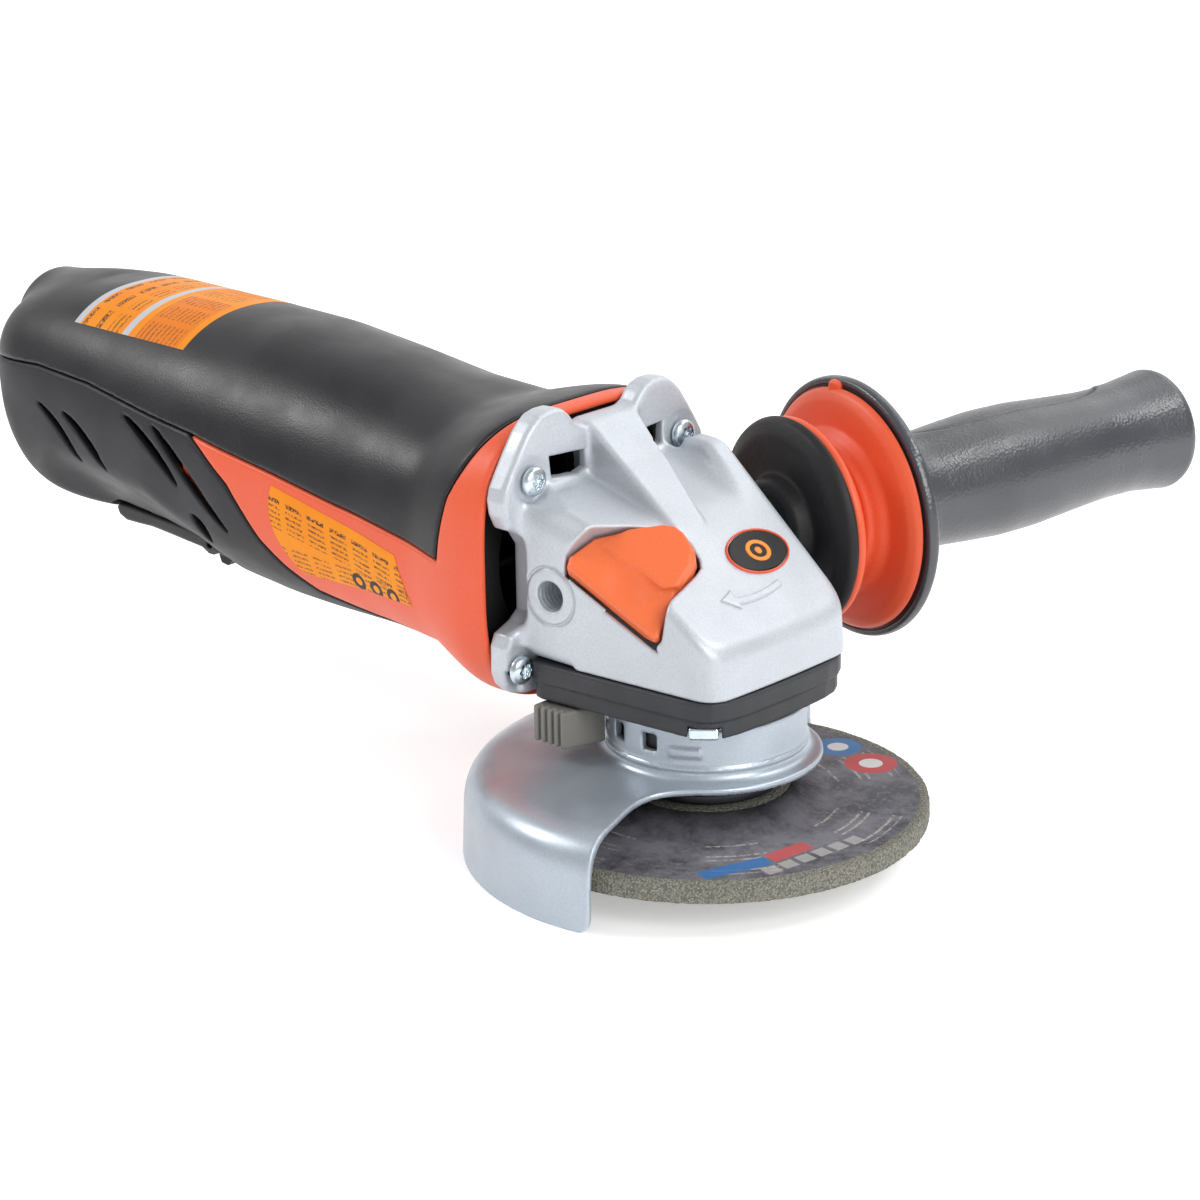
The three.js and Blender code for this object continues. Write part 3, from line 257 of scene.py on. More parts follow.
def frame_of(axis):
    """Two directions square to an axis, and the axis itself."""
    axis = unit(axis)
    up = np.array([0, 0, 1.0]) if abs(axis[2]) < 0.9 else np.array([1.0, 0, 0])
    side = unit(np.cross(up, axis))
    return side, np.cross(axis, side), axis


def soften(profile, radius, steps=4, closed=False):
    """Rounds the corners of an outline with short curves."""
    points = [np.array(p, dtype=float) for p in profile]
    out = []
    count = len(points)
    for i, p in enumerate(points):
        if not closed and i in (0, count - 1):
            out.append(p)
            continue
        before, after = points[i - 1] - p, points[(i + 1) % count] - p
        la, lb = np.linalg.norm(before), np.linalg.norm(after)
        reach = min(radius, 0.45 * la, 0.45 * lb)
        a, b = p + before / la * reach, p + after / lb * reach
        for t in np.linspace(0, 1, steps):
            out.append((1 - t) ** 2 * a + 2 * t * (1 - t) * p + t * t * b)
    return out


def outward(verts, faces, centre):
    """Turns the faces of a closed form over if they point inward."""
    a, b, c, d = (verts[faces[:, k]] - centre for k in range(4))
    volume = (np.einsum("ij,ij->i", a, np.cross(b, c)) + np.einsum("ij,ij->i", a, np.cross(c, d))).sum()
    return faces[:, ::-1] if volume < 0 else faces


def turned(name, profile, material, base=(0, 0, 0), axis=(0, 0, 1), sides=96, shape=None):
    """A turned piece from [radius, distance] rows. shape(radius, distance, angle) may vary the radius."""
    side, up, out = frame_of(axis)
    profile = np.array(profile, dtype=float)
    angles = np.linspace(0, 2 * math.pi, sides, endpoint=False)
    rows = []
    for r, s in profile:
        radius = np.full(sides, r) if shape is None else shape(r, s, angles)
        ring = np.array(base) + s * out + radius[:, None] * (
            np.cos(angles)[:, None] * side + np.sin(angles)[:, None] * up
        )
        rows.append(ring)
    verts = np.concatenate(rows)
    j = np.arange(sides)
    k = (j + 1) % sides
    faces = [np.stack([i * sides + j, i * sides + k, (i + 1) * sides + k, (i + 1) * sides + j], 1)
             for i in range(len(profile) - 1)]
    last = (len(profile) - 1) * sides
    faces.append(np.stack([last + j, last + k, k, j], 1))
    faces = outward(verts, np.concatenate(faces), np.array(base))
    return new_object(name, verts, faces, material)


def sharpen(obj, degrees=40):
    obj.data.set_sharp_from_angle(angle=math.radians(degrees))
    return obj


def hand_over(obj, body, slot, *nodes):
    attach(obj, body)
    if nodes:
        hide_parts(*nodes)


def formed(name, field, low, high, step, finish, body, slot, *nodes):
    """A piece meshed from a field, with its finish, and handed over."""
    hand_over(skin(name, field, low, high, step, M[finish]), body, slot, *nodes)


# ---- materials


def srgb(*rgb):
    def lin(c):
        c /= 255
        return c / 12.92 if c <= 0.04045 else ((c + 0.055) / 1.055) ** 2.4
    return (*[lin(c) for c in rgb], 1.0)


class Shader:
    """A small builder for node materials, on object coordinates in metres."""

    def __init__(self, name):
        self.material = bpy.data.materials.new(name)
        self.material.use_nodes = True
        self.tree = self.material.node_tree
        self.tree.nodes.clear()
        self.out = self.add("ShaderNodeOutputMaterial")
        self.bsdf = self.add("ShaderNodeBsdfPrincipled")
        self.link(self.bsdf.outputs[0], self.out.inputs[0])
        self.coord = self.add("ShaderNodeTexCoord").outputs["Object"]

    def add(self, kind, **values):
        node = self.tree.nodes.new(kind)
        for key, value in values.items():
            setattr(node, key, value)
        return node

    def link(self, a, b):
        self.tree.links.new(a, b)

    def feed(self, value, socket):
        """Links an output to the socket, or sets the socket to a plain value."""
        if isinstance(value, (int, float, tuple)):
            socket.default_value = value
        else:
            self.link(value, socket)

    def made(self, kind, output, **values):
        """A node's output, with its inputs linked or set; an underscore stands for a space."""
        node = self.add(kind)
        for key, value in values.items():
            self.feed(value, node.inputs[key.replace("_", " ")])
        return node.outputs[output]

    def noise(self, scale, detail=3.0, rough=0.5):
        return self.made("ShaderNodeTexNoise", "Fac", Vector=self.coord, Scale=scale, Detail=detail,
                         Roughness=rough)

    def voronoi(self, scale):
        return self.made("ShaderNodeTexVoronoi", "Distance", Vector=self.coord, Scale=scale)

    def math(self, kind, a, b=0.0):
        node = self.add("ShaderNodeMath", operation=kind)
        self.feed(a, node.inputs[0])
        self.feed(b, node.inputs[1])
        return node.outputs[0]

    def product(self, first, *others):
        for other in others:
            first = self.math("MULTIPLY", first, other)
        return first

    def between(self, value, low, high):
        return self.product(self.math("GREATER_THAN", value, low), self.math("LESS_THAN", value, high))

    def length(self, a, b):
        return self.math("SQRT", self.math("ADD", self.product(a, a), self.product(b, b)))

    def ramp(self, value, low, high, to_low=0.0, to_high=1.0):
        return self.made("ShaderNodeMapRange", 0, Value=value, From_Min=low, From_Max=high, To_Min=to_low,
                         To_Max=to_high)

    def mix(self, factor, a, b):
        node = self.add("ShaderNodeMix", data_type="RGBA")
        self.feed(factor, node.inputs[0])
        sockets = [s for s in node.inputs if s.type == "RGBA"]
        for socket, value in zip(sockets, (a, b)):
            self.feed(value, socket)
        return [s for s in node.outputs if s.type == "RGBA"][0]

    def split(self):
        node = self.add("ShaderNodeSeparateXYZ")
        self.link(self.coord, node.inputs[0])
        return node.outputs

    def edge(self, low=0.52, high=0.6):
        geometry = self.add("ShaderNodeNewGeometry")
        return self.ramp(geometry.outputs["Pointiness"], low, high)

    def bump(self, *layers):
        """Each layer is (height, strength, distance in metres)."""
        under = {}
        for height, strength, distance in layers:
            under["Normal"] = self.made("ShaderNodeBump", 0, Height=height, Strength=strength,
                                        Distance=distance, **under)
        self.link(under["Normal"], self.bsdf.inputs["Normal"])

    def finish(self, color, roughness, metallic=0.0, specular=0.5):
        values = {"Base Color": color, "Roughness": roughness, "Metallic": metallic,
                  "Specular IOR Level": specular}
        for key, value in values.items():
            self.feed(value, self.bsdf.inputs[key])
        return self.material


def shade(color, k):
    return (*[min(1.0, c * k) for c in color[:3]], 1.0)


def moulded(name, color, roughness, grain, depth, variation, specular, strength):
    """Moulded plastic with a fine spark-eroded grain."""
    s = Shader(name)
    cloud = s.noise(26, 4)
    base = s.mix(s.ramp(cloud, 0.3, 0.7), shade(color, 1 - variation), shade(color, 1 + variation))
    fleck = s.noise(grain * 1.7, 2)
    base = s.mix(s.ramp(fleck, 0.45, 0.75, 0, 0.3), base, shade(color, 1.5))
    cell = s.voronoi(grain)
    s.bump((cell, strength, depth), (s.noise(grain * 0.4, 3), strength * 0.5, depth * 2))
    rough = s.ramp(s.noise(60, 3), 0.3, 0.7, roughness - 0.05, roughness + 0.07)
    return s.finish(base, rough, specular=specular)


def cast_metal(name, color, roughness, metallic, grain, depth, edge_lift=0.25):
    """Painted or blasted casting: fine granular surface, brighter edges."""
    s = Shader(name)
    base = s.mix(s.ramp(s.noise(30, 5), 0.3, 0.7), shade(color, 0.93), shade(color, 1.05))
    base = s.mix(s.ramp(s.noise(grain, 2, 0.7), 0.35, 0.7, 0, 0.5), base, shade(color, 0.7))
    # Sharp convex edges, found by pointiness, are made lighter in colour.
    base = s.mix(s.product(s.edge(), edge_lift), base, shade(color, 1.25))
    s.bump((s.noise(grain * 0.7, 3, 0.6), 0.45, depth), (s.noise(120, 3), 0.25, depth * 3))
    rough = s.ramp(s.noise(90, 4), 0.3, 0.7, roughness - 0.06, roughness + 0.08)
    return s.finish(base, rough, metallic=metallic)


def machined(name, color, roughness=0.3, metallic=1.0, scratch=500):
    s = Shader(name)
    base = s.mix(s.ramp(s.noise(80, 4), 0.3, 0.7), shade(color, 0.85), shade(color, 1.1))
    fine = s.noise(scratch, 4, 0.7)
    s.bump((fine, 0.25, 0.00003))
    rough = s.ramp(s.noise(200, 3), 0.3, 0.7, roughness - 0.08, roughness + 0.1)
    return s.finish(base, rough, metallic=metallic)


FINISHES = {
    cast_metal: {
        "cast": ("cast_silver", (198, 203, 210), 0.42, 0.35, 1900, 0.00007),
        "plate": ("coated_plate", (50, 51, 55), 0.5, 0.1, 1200, 0.00004, 0.3),
        "guard": ("guard_steel", (180, 190, 200), 0.36, 0.55, 2200, 0.00002, 0.5),
    },
    moulded: {
        "orange": ("orange_plastic", (222, 88, 52), 0.42, 1500, 0.00003, 0.04, 0.45, 0.3),
        "amber": ("badge_amber", (240, 140, 40), 0.4, 1500, 0.00002, 0.04, 0.4, 0.2),
        "button": ("button_orange", (232, 110, 62), 0.38, 1500, 0.00002, 0.04, 0.45, 0.25),
        "black": ("black_plastic", (24, 24, 28), 0.38, 1700, 0.00003, 0.12, 0.42, 0.8),
        "charcoal": ("charcoal_plastic", (28, 28, 32), 0.5, 1500, 0.00005, 0.12, 0.4, 0.5),
        "dark": ("dark_plastic", (22, 22, 24), 0.55, 1300, 0.00006, 0.12, 0.4, 0.5),
        "rubber": ("soft_rubber", (30, 30, 32), 0.6, 1500, 0.00005, 0.15, 0.4, 0.5),
        "grip": ("grip_rubber", (48, 50, 56), 0.32, 1100, 0.00008, 0.3, 1.0, 0.9),
        "lever": ("lever_grey", (118, 116, 110), 0.5, 1300, 0.00004, 0.1, 0.5, 0.4),
        "carbon": ("pressed_carbon", (44, 44, 46), 0.6, 900, 0.00006, 0.2, 0.4, 0.6),
        "board": ("board_green", (44, 92, 66), 0.4, 900, 0.00003, 0.15, 0.5, 0.3),
    },
    machined: {
        "zinc": ("zinc_plated", (205, 216, 222), 0.25),
        "steel": ("ground_steel", (176, 180, 186), 0.3),
        "blackened": ("blackened_steel", (70, 72, 76), 0.42, 0.9),
        "brass": ("holder_brass", (196, 160, 80), 0.35),
        "copper": ("winding_copper", (176, 100, 54), 0.4, 0.9, 1400),
        "laminate": ("laminated_steel", (112, 108, 102), 0.45, 0.8, 900),
    },
}
M = {}
for make, rows in FINISHES.items():
    for key, (name, color, *numbers) in rows.items():
        M[key] = make(name, srgb(*color), *numbers)

CAD_FINISH = {
    "steel":
        "spindle armature_shaft spindle_bearing spindle_bush front_bearing rear_bearing guard_lever_pin "
        "lock_pin paddle_pin lock_off_pin brush_spring_left brush_spring_right",
    "blackened": "crown_gear pinion",
    "laminate": "rotor_core stator_core",
    "copper": "commutator stator_coil_front stator_coil_rear",
    "dark": "fan switch_body switch_plunger lock_off_lever",
    "board": "electronics_board",
    "brass": "brush_holder_left brush_holder_right",
    "carbon": "brush_left brush_right",
    "zinc": "handle_stud",
}
for finish, nodes in CAD_FINISH.items():
    for node in nodes.split():
        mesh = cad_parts[node].data
        mesh.materials.clear()
        mesh.materials.append(M[finish])

# ---- gear case


def slope_height(x):
    return SLOPE_TOP - SLOPE * (x - FLANGE_FRONT)


FLANGE_HALF = [
    (0, 36), (33, 36), (37.5, 37), (40.3, 39.6), (41.5, 43), (41.5, 51), (40, 54.6), (34, 57), (31, 59.5),
    (31, 78), (34, 82.5), (39.2, 85), (41, 89), (41.5, 93), (40.6, 96.6), (38.6, 100), (35, 105.5),
    (31.6, 110.3), (29, 112.8), (26.4, 114.7), (23, 115.4), (19.5, 115.4), (16.4, 114.4), (14.2, 112.6),
    (12, 110), (10, 108.8), (8, 108.5),
]
FLANGE = FLANGE_HALF + [(-y, z) for y, z in reversed(FLANGE_HALF[1:])]


def valley(x, y, z):
    """The two scooped valleys beside the central ridge, negative inside."""
    floor = (SHOULDER_TOP - 0.292 * (x - FLANGE_FRONT) - z) * 0.96
    t = np.clip((x - FLANGE_FRONT) / 33.0, -0.1, 1.3)
    near = smax(floor, y + 7.4 + 0.5 * t, 2.4)
    far = smax(floor, 12.2 - 8.6 * t - y, 2.4)
    far = smax(far, (y - 25.5 + 1.5 * t) * 0.9 + (z - 90) * -0.12, 7)
    return join(near, far)


def case_outside(x, y, z):
    side = np.abs(y)
    flange = smax(polygon(y, z, FLANGE), slab(x, CASE_REAR, FLANGE_FRONT), 2.4)
    walls = (side - (35 - 0.0912 * (x - FLANGE_FRONT))) * 0.9959
    nose = (x + 0.0011 * y * y - 29.1 + 0.085 * (z - 47)) * 0.995
    top = smax((z - slope_height(x)) * 0.799, z - 98.2, 2)
    wedge = smax(walls, nose, 7)
    wedge = smax(wedge, top, 3.0)
    wedge = smax(wedge, -valley(x, y, z), 2.4 + 6.5 * smoothstep(-24, -33, y))
    wedge = smax(wedge, PLATE_TOP + 0.3 - z, 1.0)
    wedge = smax(wedge, CASE_REAR + 8 - x, 2)
    t = np.clip((x - FLANGE_FRONT) / 33.0, -0.1, 1.3)
    ridge = meet(-7.4 - 0.5 * t - y, y - 12.2 + 8.6 * t)
    ridge = smax(ridge, (z - slope_height(x)) * 0.799, 1.6)
    ridge = smax(ridge, z - 109.2, 2)
    ridge = smax(ridge, slab(x, CASE_REAR + 1, SHOULDER_FRONT + 2), 2)
    ridge = meet(ridge, 80 - z)
    body = smin(smin(flange, wedge, 3.4), ridge, 1.8)
    s, off = along_axis(x, y, z, SOCKET, HANDLE_AXIS)
    boss = smax(off - 11 - 0.02 * (41.5 - s), slab(s, 20, 41.5), 1.5)
    return smin(body, boss, 3)


def button_frame(x, y, z):
    return local(x, y, z, BUTTON_CENTRE, (BUTTON_ALONG, BUTTON_ACROSS, BUTTON_OUT))


def case_field(x, y, z):
    body = case_outside(x, y, z)
    side = np.abs(y)
    u, v, w = button_frame(x, y, z)
    pocket = smax(polygon(u, v, BUTTON_OUTLINE) - 0.7, -8.5 - w, 1)
    body = smax(body, -pocket, 1.0)
    wedge_cut = smax(polygon(x, z, [(-9, 66.9), (9.6, 58.2), (8.4, 61.4), (-4, 66.4)]), slab(y, -40, -25),
                     0.4)
    body = smax(body, -wedge_cut, 0.5)
    window = smax(polygon(side, z, [(9, 96.4), (12.5, 95.4), (22.4, 96.4), (23.2, 102.6), (9, 101.6)]),
                  slab(x, CASE_REAR - 2, -27), 1)
    body = smax(body, -window, 0.7)
    room = smax(polygon(side, z, [(6, 93), (27, 93), (27, 104.5), (6, 104.5)]),
                slab(x, CASE_REAR - 2, -39.2), 1)
    body = meet(body, -room)
    for y0, z0 in CASE_SCREWS[1::2]:
        reach = np.where(y > 0, -32.5, -27) if z0 > 80 else -20
        recess = smax(meet(FLANGE_FRONT - x, x - reach), disc(side - y0, z - z0, 5.4), 1.5)
        body = smax(body, -recess, 2.2)
        body = carve(body, disc(side - y0, z - z0, 2.4), slab(x, CASE_REAR - 2, -30))
    notch = smax(slab(side, 36, 50), meet(slab(z, 30, 44), slab(x, -38, -20)), 1)
    body = smax(body, -notch, 1.2)
    s, off = along_axis(x, y, z, FAR_SOCKET, FAR_SOCKET_AXIS)
    thread = 4.3 + 0.4 * np.abs(((s / 1.5) % 1.0) * 2 - 1)
    body = smax(body, -smax(off - thread, slab(s, 22.8, 60), 0.5), 0.6)
    ring = smax(np.abs(off - 8.3) - 0.45, slab(s, 33.6, 40), 0.3)
    body = smax(body, -ring, 0.35)
    s, off = along_axis(x, y, z, SOCKET, HANDLE_AXIS)
    body = carve(body, off - 5.3, slab(s, 23, 60))
    r = disc(x, y, 0)
    rooms = meet(r - 22.5, slab(z, 30, 57.5))
    crown = meet(r - 19, slab(z, 50, 67.7), (r - 19) * 0.39 + (z - 64.9) * 0.92)
    rooms = join(rooms, crown)
    for across, along in (
        (disc(y, z - MOTOR_AXIS, 8.6), slab(x, -34, -5)),
        (disc(y, z - MOTOR_AXIS, 15.3), slab(x, CASE_REAR - 2, -33.7)),
        (r - 5.5, slab(z, 60, 74.1)),
        (disc(x, y + 10.4, 2.0), slab(z, 58, 76)),
        (meet(slab(x, -10.5, 3.4), slab(y, -22, -5.4)), slab(z, 67, 75.4)),
    ):
        rooms = join(rooms, meet(across, along))
    return meet(body, -rooms)


FINE = 0.5
formed("gear_case_casting", case_field, (-45, -43, 35), (30, 43, 117), FINE, "cast",
       "tool_body", "cast_aluminium", "gear_case")


def plate_field(x, y, z):
    half = [
        (29.5, 0), (29.4, 10), (28.9, 18), (27.8, 23.6), (25.8, 27.2), (23, 29.4), (19, 30.4), (-31, 35.2),
        (-34, 34.4), (-35.4, 31.5),
    ]
    outline = half + [(a, -b) for a, b in reversed(half[1:])]
    plan = polygon(x, y, outline)
    upper = smax(plan, slab(z, 41.2, PLATE_TOP), 0.9)
    lower = smax(plan + 0.9, slab(z, PLATE_BOTTOM, 41.6), 1.2)
    plate = join(upper, lower)
    r = disc(x, y, 0)
    plate = smin(plate, smax(r - 25.2, slab(z, 20.5, 38), 0.6), 1.5)
    plate = carve(plate, r - 16.3, slab(z, 37.5, 60))
    plate = carve(plate, r - 11, slab(z, 15, 60))
    for x0, y0 in PLATE_SCREWS:
        plate = smax(plate, -meet(disc(x - x0, y - y0, 4.2), slab(z, 30, 39.4)), 0.6)
        plate = carve(plate, disc(x - x0, y - y0, 2.2), slab(z, 30, 60))
    u, v = (x - 22.5) * 0.77 + (y + 26.5) * 0.64, -(x - 22.5) * 0.64 + (y + 26.5) * 0.77
    notch = meet(np.abs(u) - 4.6, np.abs(v) - 6, slab(z, 30, 39.4))
    plate = smax(plate, -notch, 0.6)
    return carve(plate, disc(x - LEVER_PIVOT[0], y - LEVER_PIVOT[1], 1.6), slab(z, 30, 43))


formed("base_plate_coated", plate_field, (-36, -36, 20), (30, 36, 48), FINE, "plate",
       "tool_body", "coated_plate", "base_plate")


def clip_field(x, y, z):
    u, v = (x - 21.6) * 0.77 + (y + 25.8) * 0.64, -(x - 21.6) * 0.64 + (y + 25.8) * 0.77
    return smax(smax(np.abs(u) - 4.1, np.abs(v) - 1.7, 0.8), slab(z, 35.6, 39.2), 0.8)


formed("plate_clip", clip_field, (14, -33, 35), (29, -18, 40), 0.4, "zinc", "tool_body", "zinc_plated_steel")

# ---- body shells

TABLE_X = np.arange(-330.0, 0.0, 1.0)
KERNEL = np.exp(-0.5 * (np.arange(-12, 13) / 3.2) ** 2)
KERNEL /= KERNEL.sum()


def body_column(k):
    row = np.interp(TABLE_X, BODY_STATIONS[:, 0], BODY_STATIONS[:, k])
    return np.convolve(np.pad(row, 12, mode="edge"), KERNEL, mode="valid")


BODY = [body_column(k) for k in range(1, 5)]


def body_at(x):
    return [np.interp(x, TABLE_X, column) for column in BODY]


def body_field(x, y, z):
    half, bottom, top, square = body_at(x)
    middle, tall = (bottom + top) / 2, (top - bottom) / 2
    q = ((np.abs(y) / half) ** square + (np.abs(z - middle) / tall) ** square) ** (1 / square)
    rho = np.sqrt(y * y + (z - middle) ** 2)
    body = rho * (1 - 1 / np.maximum(q, 0.02))
    return smax(body, BODY_REAR - 0.6 - x + 0.16 * np.maximum(92 - z, 0), 7)


def grip_crease(x):
    return np.interp(x, [-240, -215, -195, -172, -157, -135], [70, 68, 64.8, 57, 55, 50])


def lower_body(x, y, z):
    """The body with the undercut that runs along the lower shell."""
    body = body_field(x, y, z)
    crease = grip_crease(x)
    under = (np.abs(y) - 39.2) * 0.66 + (crease - z) * 0.75 - 0.4
    fade = smoothstep(-122, -140, x) * smoothstep(-262, -236, x)
    return smax(body, under - 8 * (1 - fade), 2.5)


def seam_region(x, z):
    return polygon(x, z, SEAM + [(-300, 91.5), (-300, 140), (-49.5, 140)] + COVER_FRONT)


LOWER = [(-300, 91.5)] + SEAM[:3:-1] + PANEL_EDGE + [(-78, 20), (-300, 20)]


def lower_region(x, z):
    return polygon(x, z, LOWER)


def boss(x, y, z, grow=0.0):
    return smax(disc(y, z - GLAND_HEIGHT, GLAND_RADIUS + grow), slab(x, BOSS_REAR - grow, -255), 3.5)


def cover_outside(x, y, z):
    return smin(body_field(x, y, z), boss(x, y, z), 6)


def cover_field(x, y, z):
    outer = cover_outside(x, y, z)
    shell = smax(outer, -(body_field(x, y, z) + WALL), 0.5)
    above = seam_region(x, z) + 0.15
    kept = smax(shell, join(above, smax(x + 262, boss(x, y, z), 1.5)), 1.1)
    return carve(kept, disc(y, z - GLAND_HEIGHT, 9.3), slab(x, -300, -250))


def shell_field(x, y, z):
    outer = lower_body(x, y, z)
    shell = smax(outer, -(outer + WALL), 0.5)
    shell = smax(shell, lower_region(x, z) + 0.15, 1.0)
    opening = smax(slab(y, -12.8, 12.8), meet(slab(x, -244.2, -144), slab(z, 20, 60)), 1)
    shell = smax(shell, -opening, 1.0)
    for rear, front, width in AIR_SLOTS:
        shell = smax(shell, -slot_field(x, z, rear, front, width), 0.45)
    return smax(shell, -boss(x, y, z, 0.35), 0.8)


def slot_field(x, z, rear, front, width):
    (x0, z0), (x1, z1) = rear, front
    length = math.hypot(x1 - x0, z1 - z0)
    tx, tz = (x1 - x0) / length, (z1 - z0) / length
    s = (x - x0) * tx + (z - z0) * tz
    bend = 1.6 * (1 - (2 * s / length - 1) ** 2)
    off = (x - x0) * -tz + (z - z0) * tx - bend
    t = np.clip(s / length, 0, 1)
    half = width * 0.5 * np.sqrt(np.maximum(4 * t * (1 - t), 0.02))
    return meet(np.abs(off) - half, slab(s, 0, length))


def housing_field(x, y, z):
    outer = body_field(x, y, z)
    shell = smax(outer, -(outer + WALL), 0.5)
    region = meet(-(seam_region(x, z) - 0.25), -(lower_region(x, z) - 0.25))
    shell = smax(shell, region, 1.1)
    shell = smax(shell, slab(x, -178, CASE_REAR - 0.3), 1.6)
    r = disc(y, z - MOTOR_AXIS, 0)
    barrel = meet(np.abs(r - 29.15) - 0.85, slab(x, -135, -66))
    tail = meet(np.abs(r - 19.75) - 1.25, slab(x, -175, -133))
    inside = outer + WALL + 0.3
    shell = join(shell, barrel, tail)
    for rear, front, bore in ((-69, -66, 28.3), (-136, -133, 18.5), (-175, -173, 12)):
        shell = join(shell, meet(slab(x, rear, front), bore - r, inside))
    return shell


COARSE = 0.7
formed("top_cover_grained", cover_field, (-284, -46, 66), (-45, 46, 119), COARSE, "black",
       "tool_body", "black_plastic", "top_cover")
formed("lower_shell_vented", shell_field, (-279, -45, 28), (-76, 45, 97), COARSE, "charcoal",
       "tool_body", "charcoal_plastic", "lower_shell")
formed("motor_housing_orange", housing_field, (-180, -46, 26), (-43, 46, 118), COARSE, "orange",
       "tool_body", "orange_plastic", "motor_housing")


def gasket_field(x, y, z):
    ring = meet(body_field(x, y, z) + WALL + 0.5, 30.4 - disc(y, z - MOTOR_AXIS, 0))
    return smax(ring, slab(x, -52, -49.5), 0.5)


formed("air_baffle_black", gasket_field, (-53, -45, 28), (-48, 45, 114), 0.8, "dark",
       "tool_body", "charcoal_plastic", "air_baffle")

# ---- guard and its lever

GUARD_TURN = math.radians(14)


def spun(x, y, degrees):
    """x and y in a frame turned about the spindle."""
    c, s = math.cos(math.radians(degrees)), math.sin(math.radians(degrees))
    return x * c + y * s, y * c - x * s


def guard_field(x, y, z):
    r = disc(x, y, 0)
    dome = smax((z - (21.2 - (r - 25.6) * 0.128)) * 0.992, r - (68.9 - (z + 9.5) * 0.042), 10)
    sheet = smax(dome, -(dome + 1.9), 0.4)
    half = x * math.cos(GUARD_TURN) + y * math.sin(GUARD_TURN)
    plan = smin(half, r - 32.5, 15)
    plan = smax(plan, -9.5 - z, 4.5)
    sheet = smax(sheet, plan, 0.5)
    sheet = smax(sheet, 25.6 - r, 0.3)
    collar = smax(slab(r, 25.6, 28), slab(z, 19, 35.5), 0.7)
    rib = disc(r - 28.3, z - 24.2, 0.5)
    piece = smin(smin(sheet, collar, 3.0), rib, 0.8)
    for degrees in (-108, -83, 72, 97):
        out, across = spun(x, y, degrees)
        hole = smax(slab(across, -2.4, 2.4), slab(z, 28, 33), 0.8)
        hole = smax(slab(out, 24, 31), hole, 0.2)
        piece = smax(piece, -hole, 0.3)
    for degrees in (-61, -132):
        pad = smax(slab(spun(x, y, degrees)[1], -4.6, 4.6), slab(z, 27.6, 30.4), 0.5)
        pad = smax(slab(r, 26, 28.6), pad, 0.4)
        piece = smin(piece, pad, 0.4)
    return meet(piece, 25.6 - r)


GUARD_STEP = 0.7
formed("guard_pressed", guard_field, (-69, -69, -9.5), (33, 69, 36), GUARD_STEP, "guard",
       "guard", "guard_steel", "guard")


def lever_field(x, y, z):
    outline = [
        (-31.5, -28.5), (-31.5, -36.5), (-20.5, -36.5), (-19, -32.5), (-17, -27), (-16.2, -24.2),
        (-17.8, -22.8), (-21.5, -26.2), (-28, -26.2),
    ]
    plan = polygon(x, y, outline)
    for i in range(4):
        plan = smax(plan, -smax(slab(x, -30.2 + i * 2.5, -29.1 + i * 2.5), slab(y, -41, -35.4), 0.3), 0.5)
    lever = smax(plan, slab(z, 24.4, 35.4), 1.0)
    return meet(lever, 1.7 - disc(x - LEVER_PIVOT[0], y - LEVER_PIVOT[1], 0))


formed("guard_lever_ribbed", lever_field, (-33, -38, 23), (-15, -22, 36), 0.33, "lever",
       "guard_lever", "lever_plastic", "guard_lever")

# ---- button, paddle, lock-off lever

PLATEAU = [
    (-15, -3), (8.3, -1.7), (11.5, 2), (9.3, 8.5), (6, 13), (0.8, 14.8), (-2.6, 14.8), (-5.6, 13), (-11.7, 6),
]


def button_field(x, y, z):
    u, v, w = button_frame(x, y, z)
    plan = polygon(u, v, BUTTON_OUTLINE) + 0.15
    cap = smax(plan, slab(w, -4, 2.4), 1.4)
    rise = 2.7 + 2.6 * np.clip((u + 15) / 26, 0, 1)
    raised = smax(smax(polygon(u, v, PLATEAU) + 0.2, plan, 0.5), meet(w - rise, -3 - w), 0.9)
    cap = smin(cap, raised, 1.1)
    bowl = np.sqrt((u + 0.5) ** 2 * 0.5 + (v + 7.8) ** 2 + (w - 9.7) ** 2) - 8.7
    cap = smax(cap, -bowl, 1.0)
    arm = meet(slab(x, -8.4, 1.8), slab(y, -20, -7.9), slab(z, 70.2, 73.8))
    return join(cap, arm)


formed("lock_button_cap", button_field, (-22, -38, 62), (15, -7.5, 92), 0.42, "button",
       "lock_button", "orange_plastic", "lock_button")

PADDLE_PROFILE = [
    (-147, 36.5), (-146.5, 40), (-150, 42.5), (-160, 42), (-200, 43), (-236, 45), (-241, 45), (-243.2, 43),
    (-242, 40.4), (-238.5, 39), (-233, 39.1), (-226, 39.4), (-216, 38.8), (-205, 38), (-192, 37.2),
    (-175, 35.8), (-158, 34), (-151, 34.4),
]


def paddle_field(x, y, z):
    outer = polygon(x, z, PADDLE_PROFILE)
    for i in range(8):
        outer = smin(outer, disc(x + 186 - i * 4.2, z - (37.0 - i * 0.42), 0.75), 0.7)
    solid = smax(outer, slab(y, -12, 12), 1.8)
    floor_height = np.interp(x, [-234, -205, -175, -158], [41.5, 40.2, 38.2, 36.6])
    hollow = smax(meet(slab(x, -234, -158), floor_height - z), slab(y, -9.4, 9.4), 0.8)
    solid = smax(solid, -hollow, 0.6)
    lever_room = meet(slab(x, -205, -188), slab(y, -4.4, 4.4))
    solid = smax(solid, -lever_room, 0.6)
    for x0, z0, r0 in ((PADDLE_PIVOT[0], PADDLE_PIVOT[1], 1.64), (LOCK_OFF[0], LOCK_OFF[1], 1.34)):
        hub = meet(disc(x - x0, z - z0, 3.6), slab(np.abs(y), 6.2, 11.5))
        solid = smin(solid, hub, 1.0)
        solid = meet(solid, -disc(x - x0, z - z0, r0))
    return solid


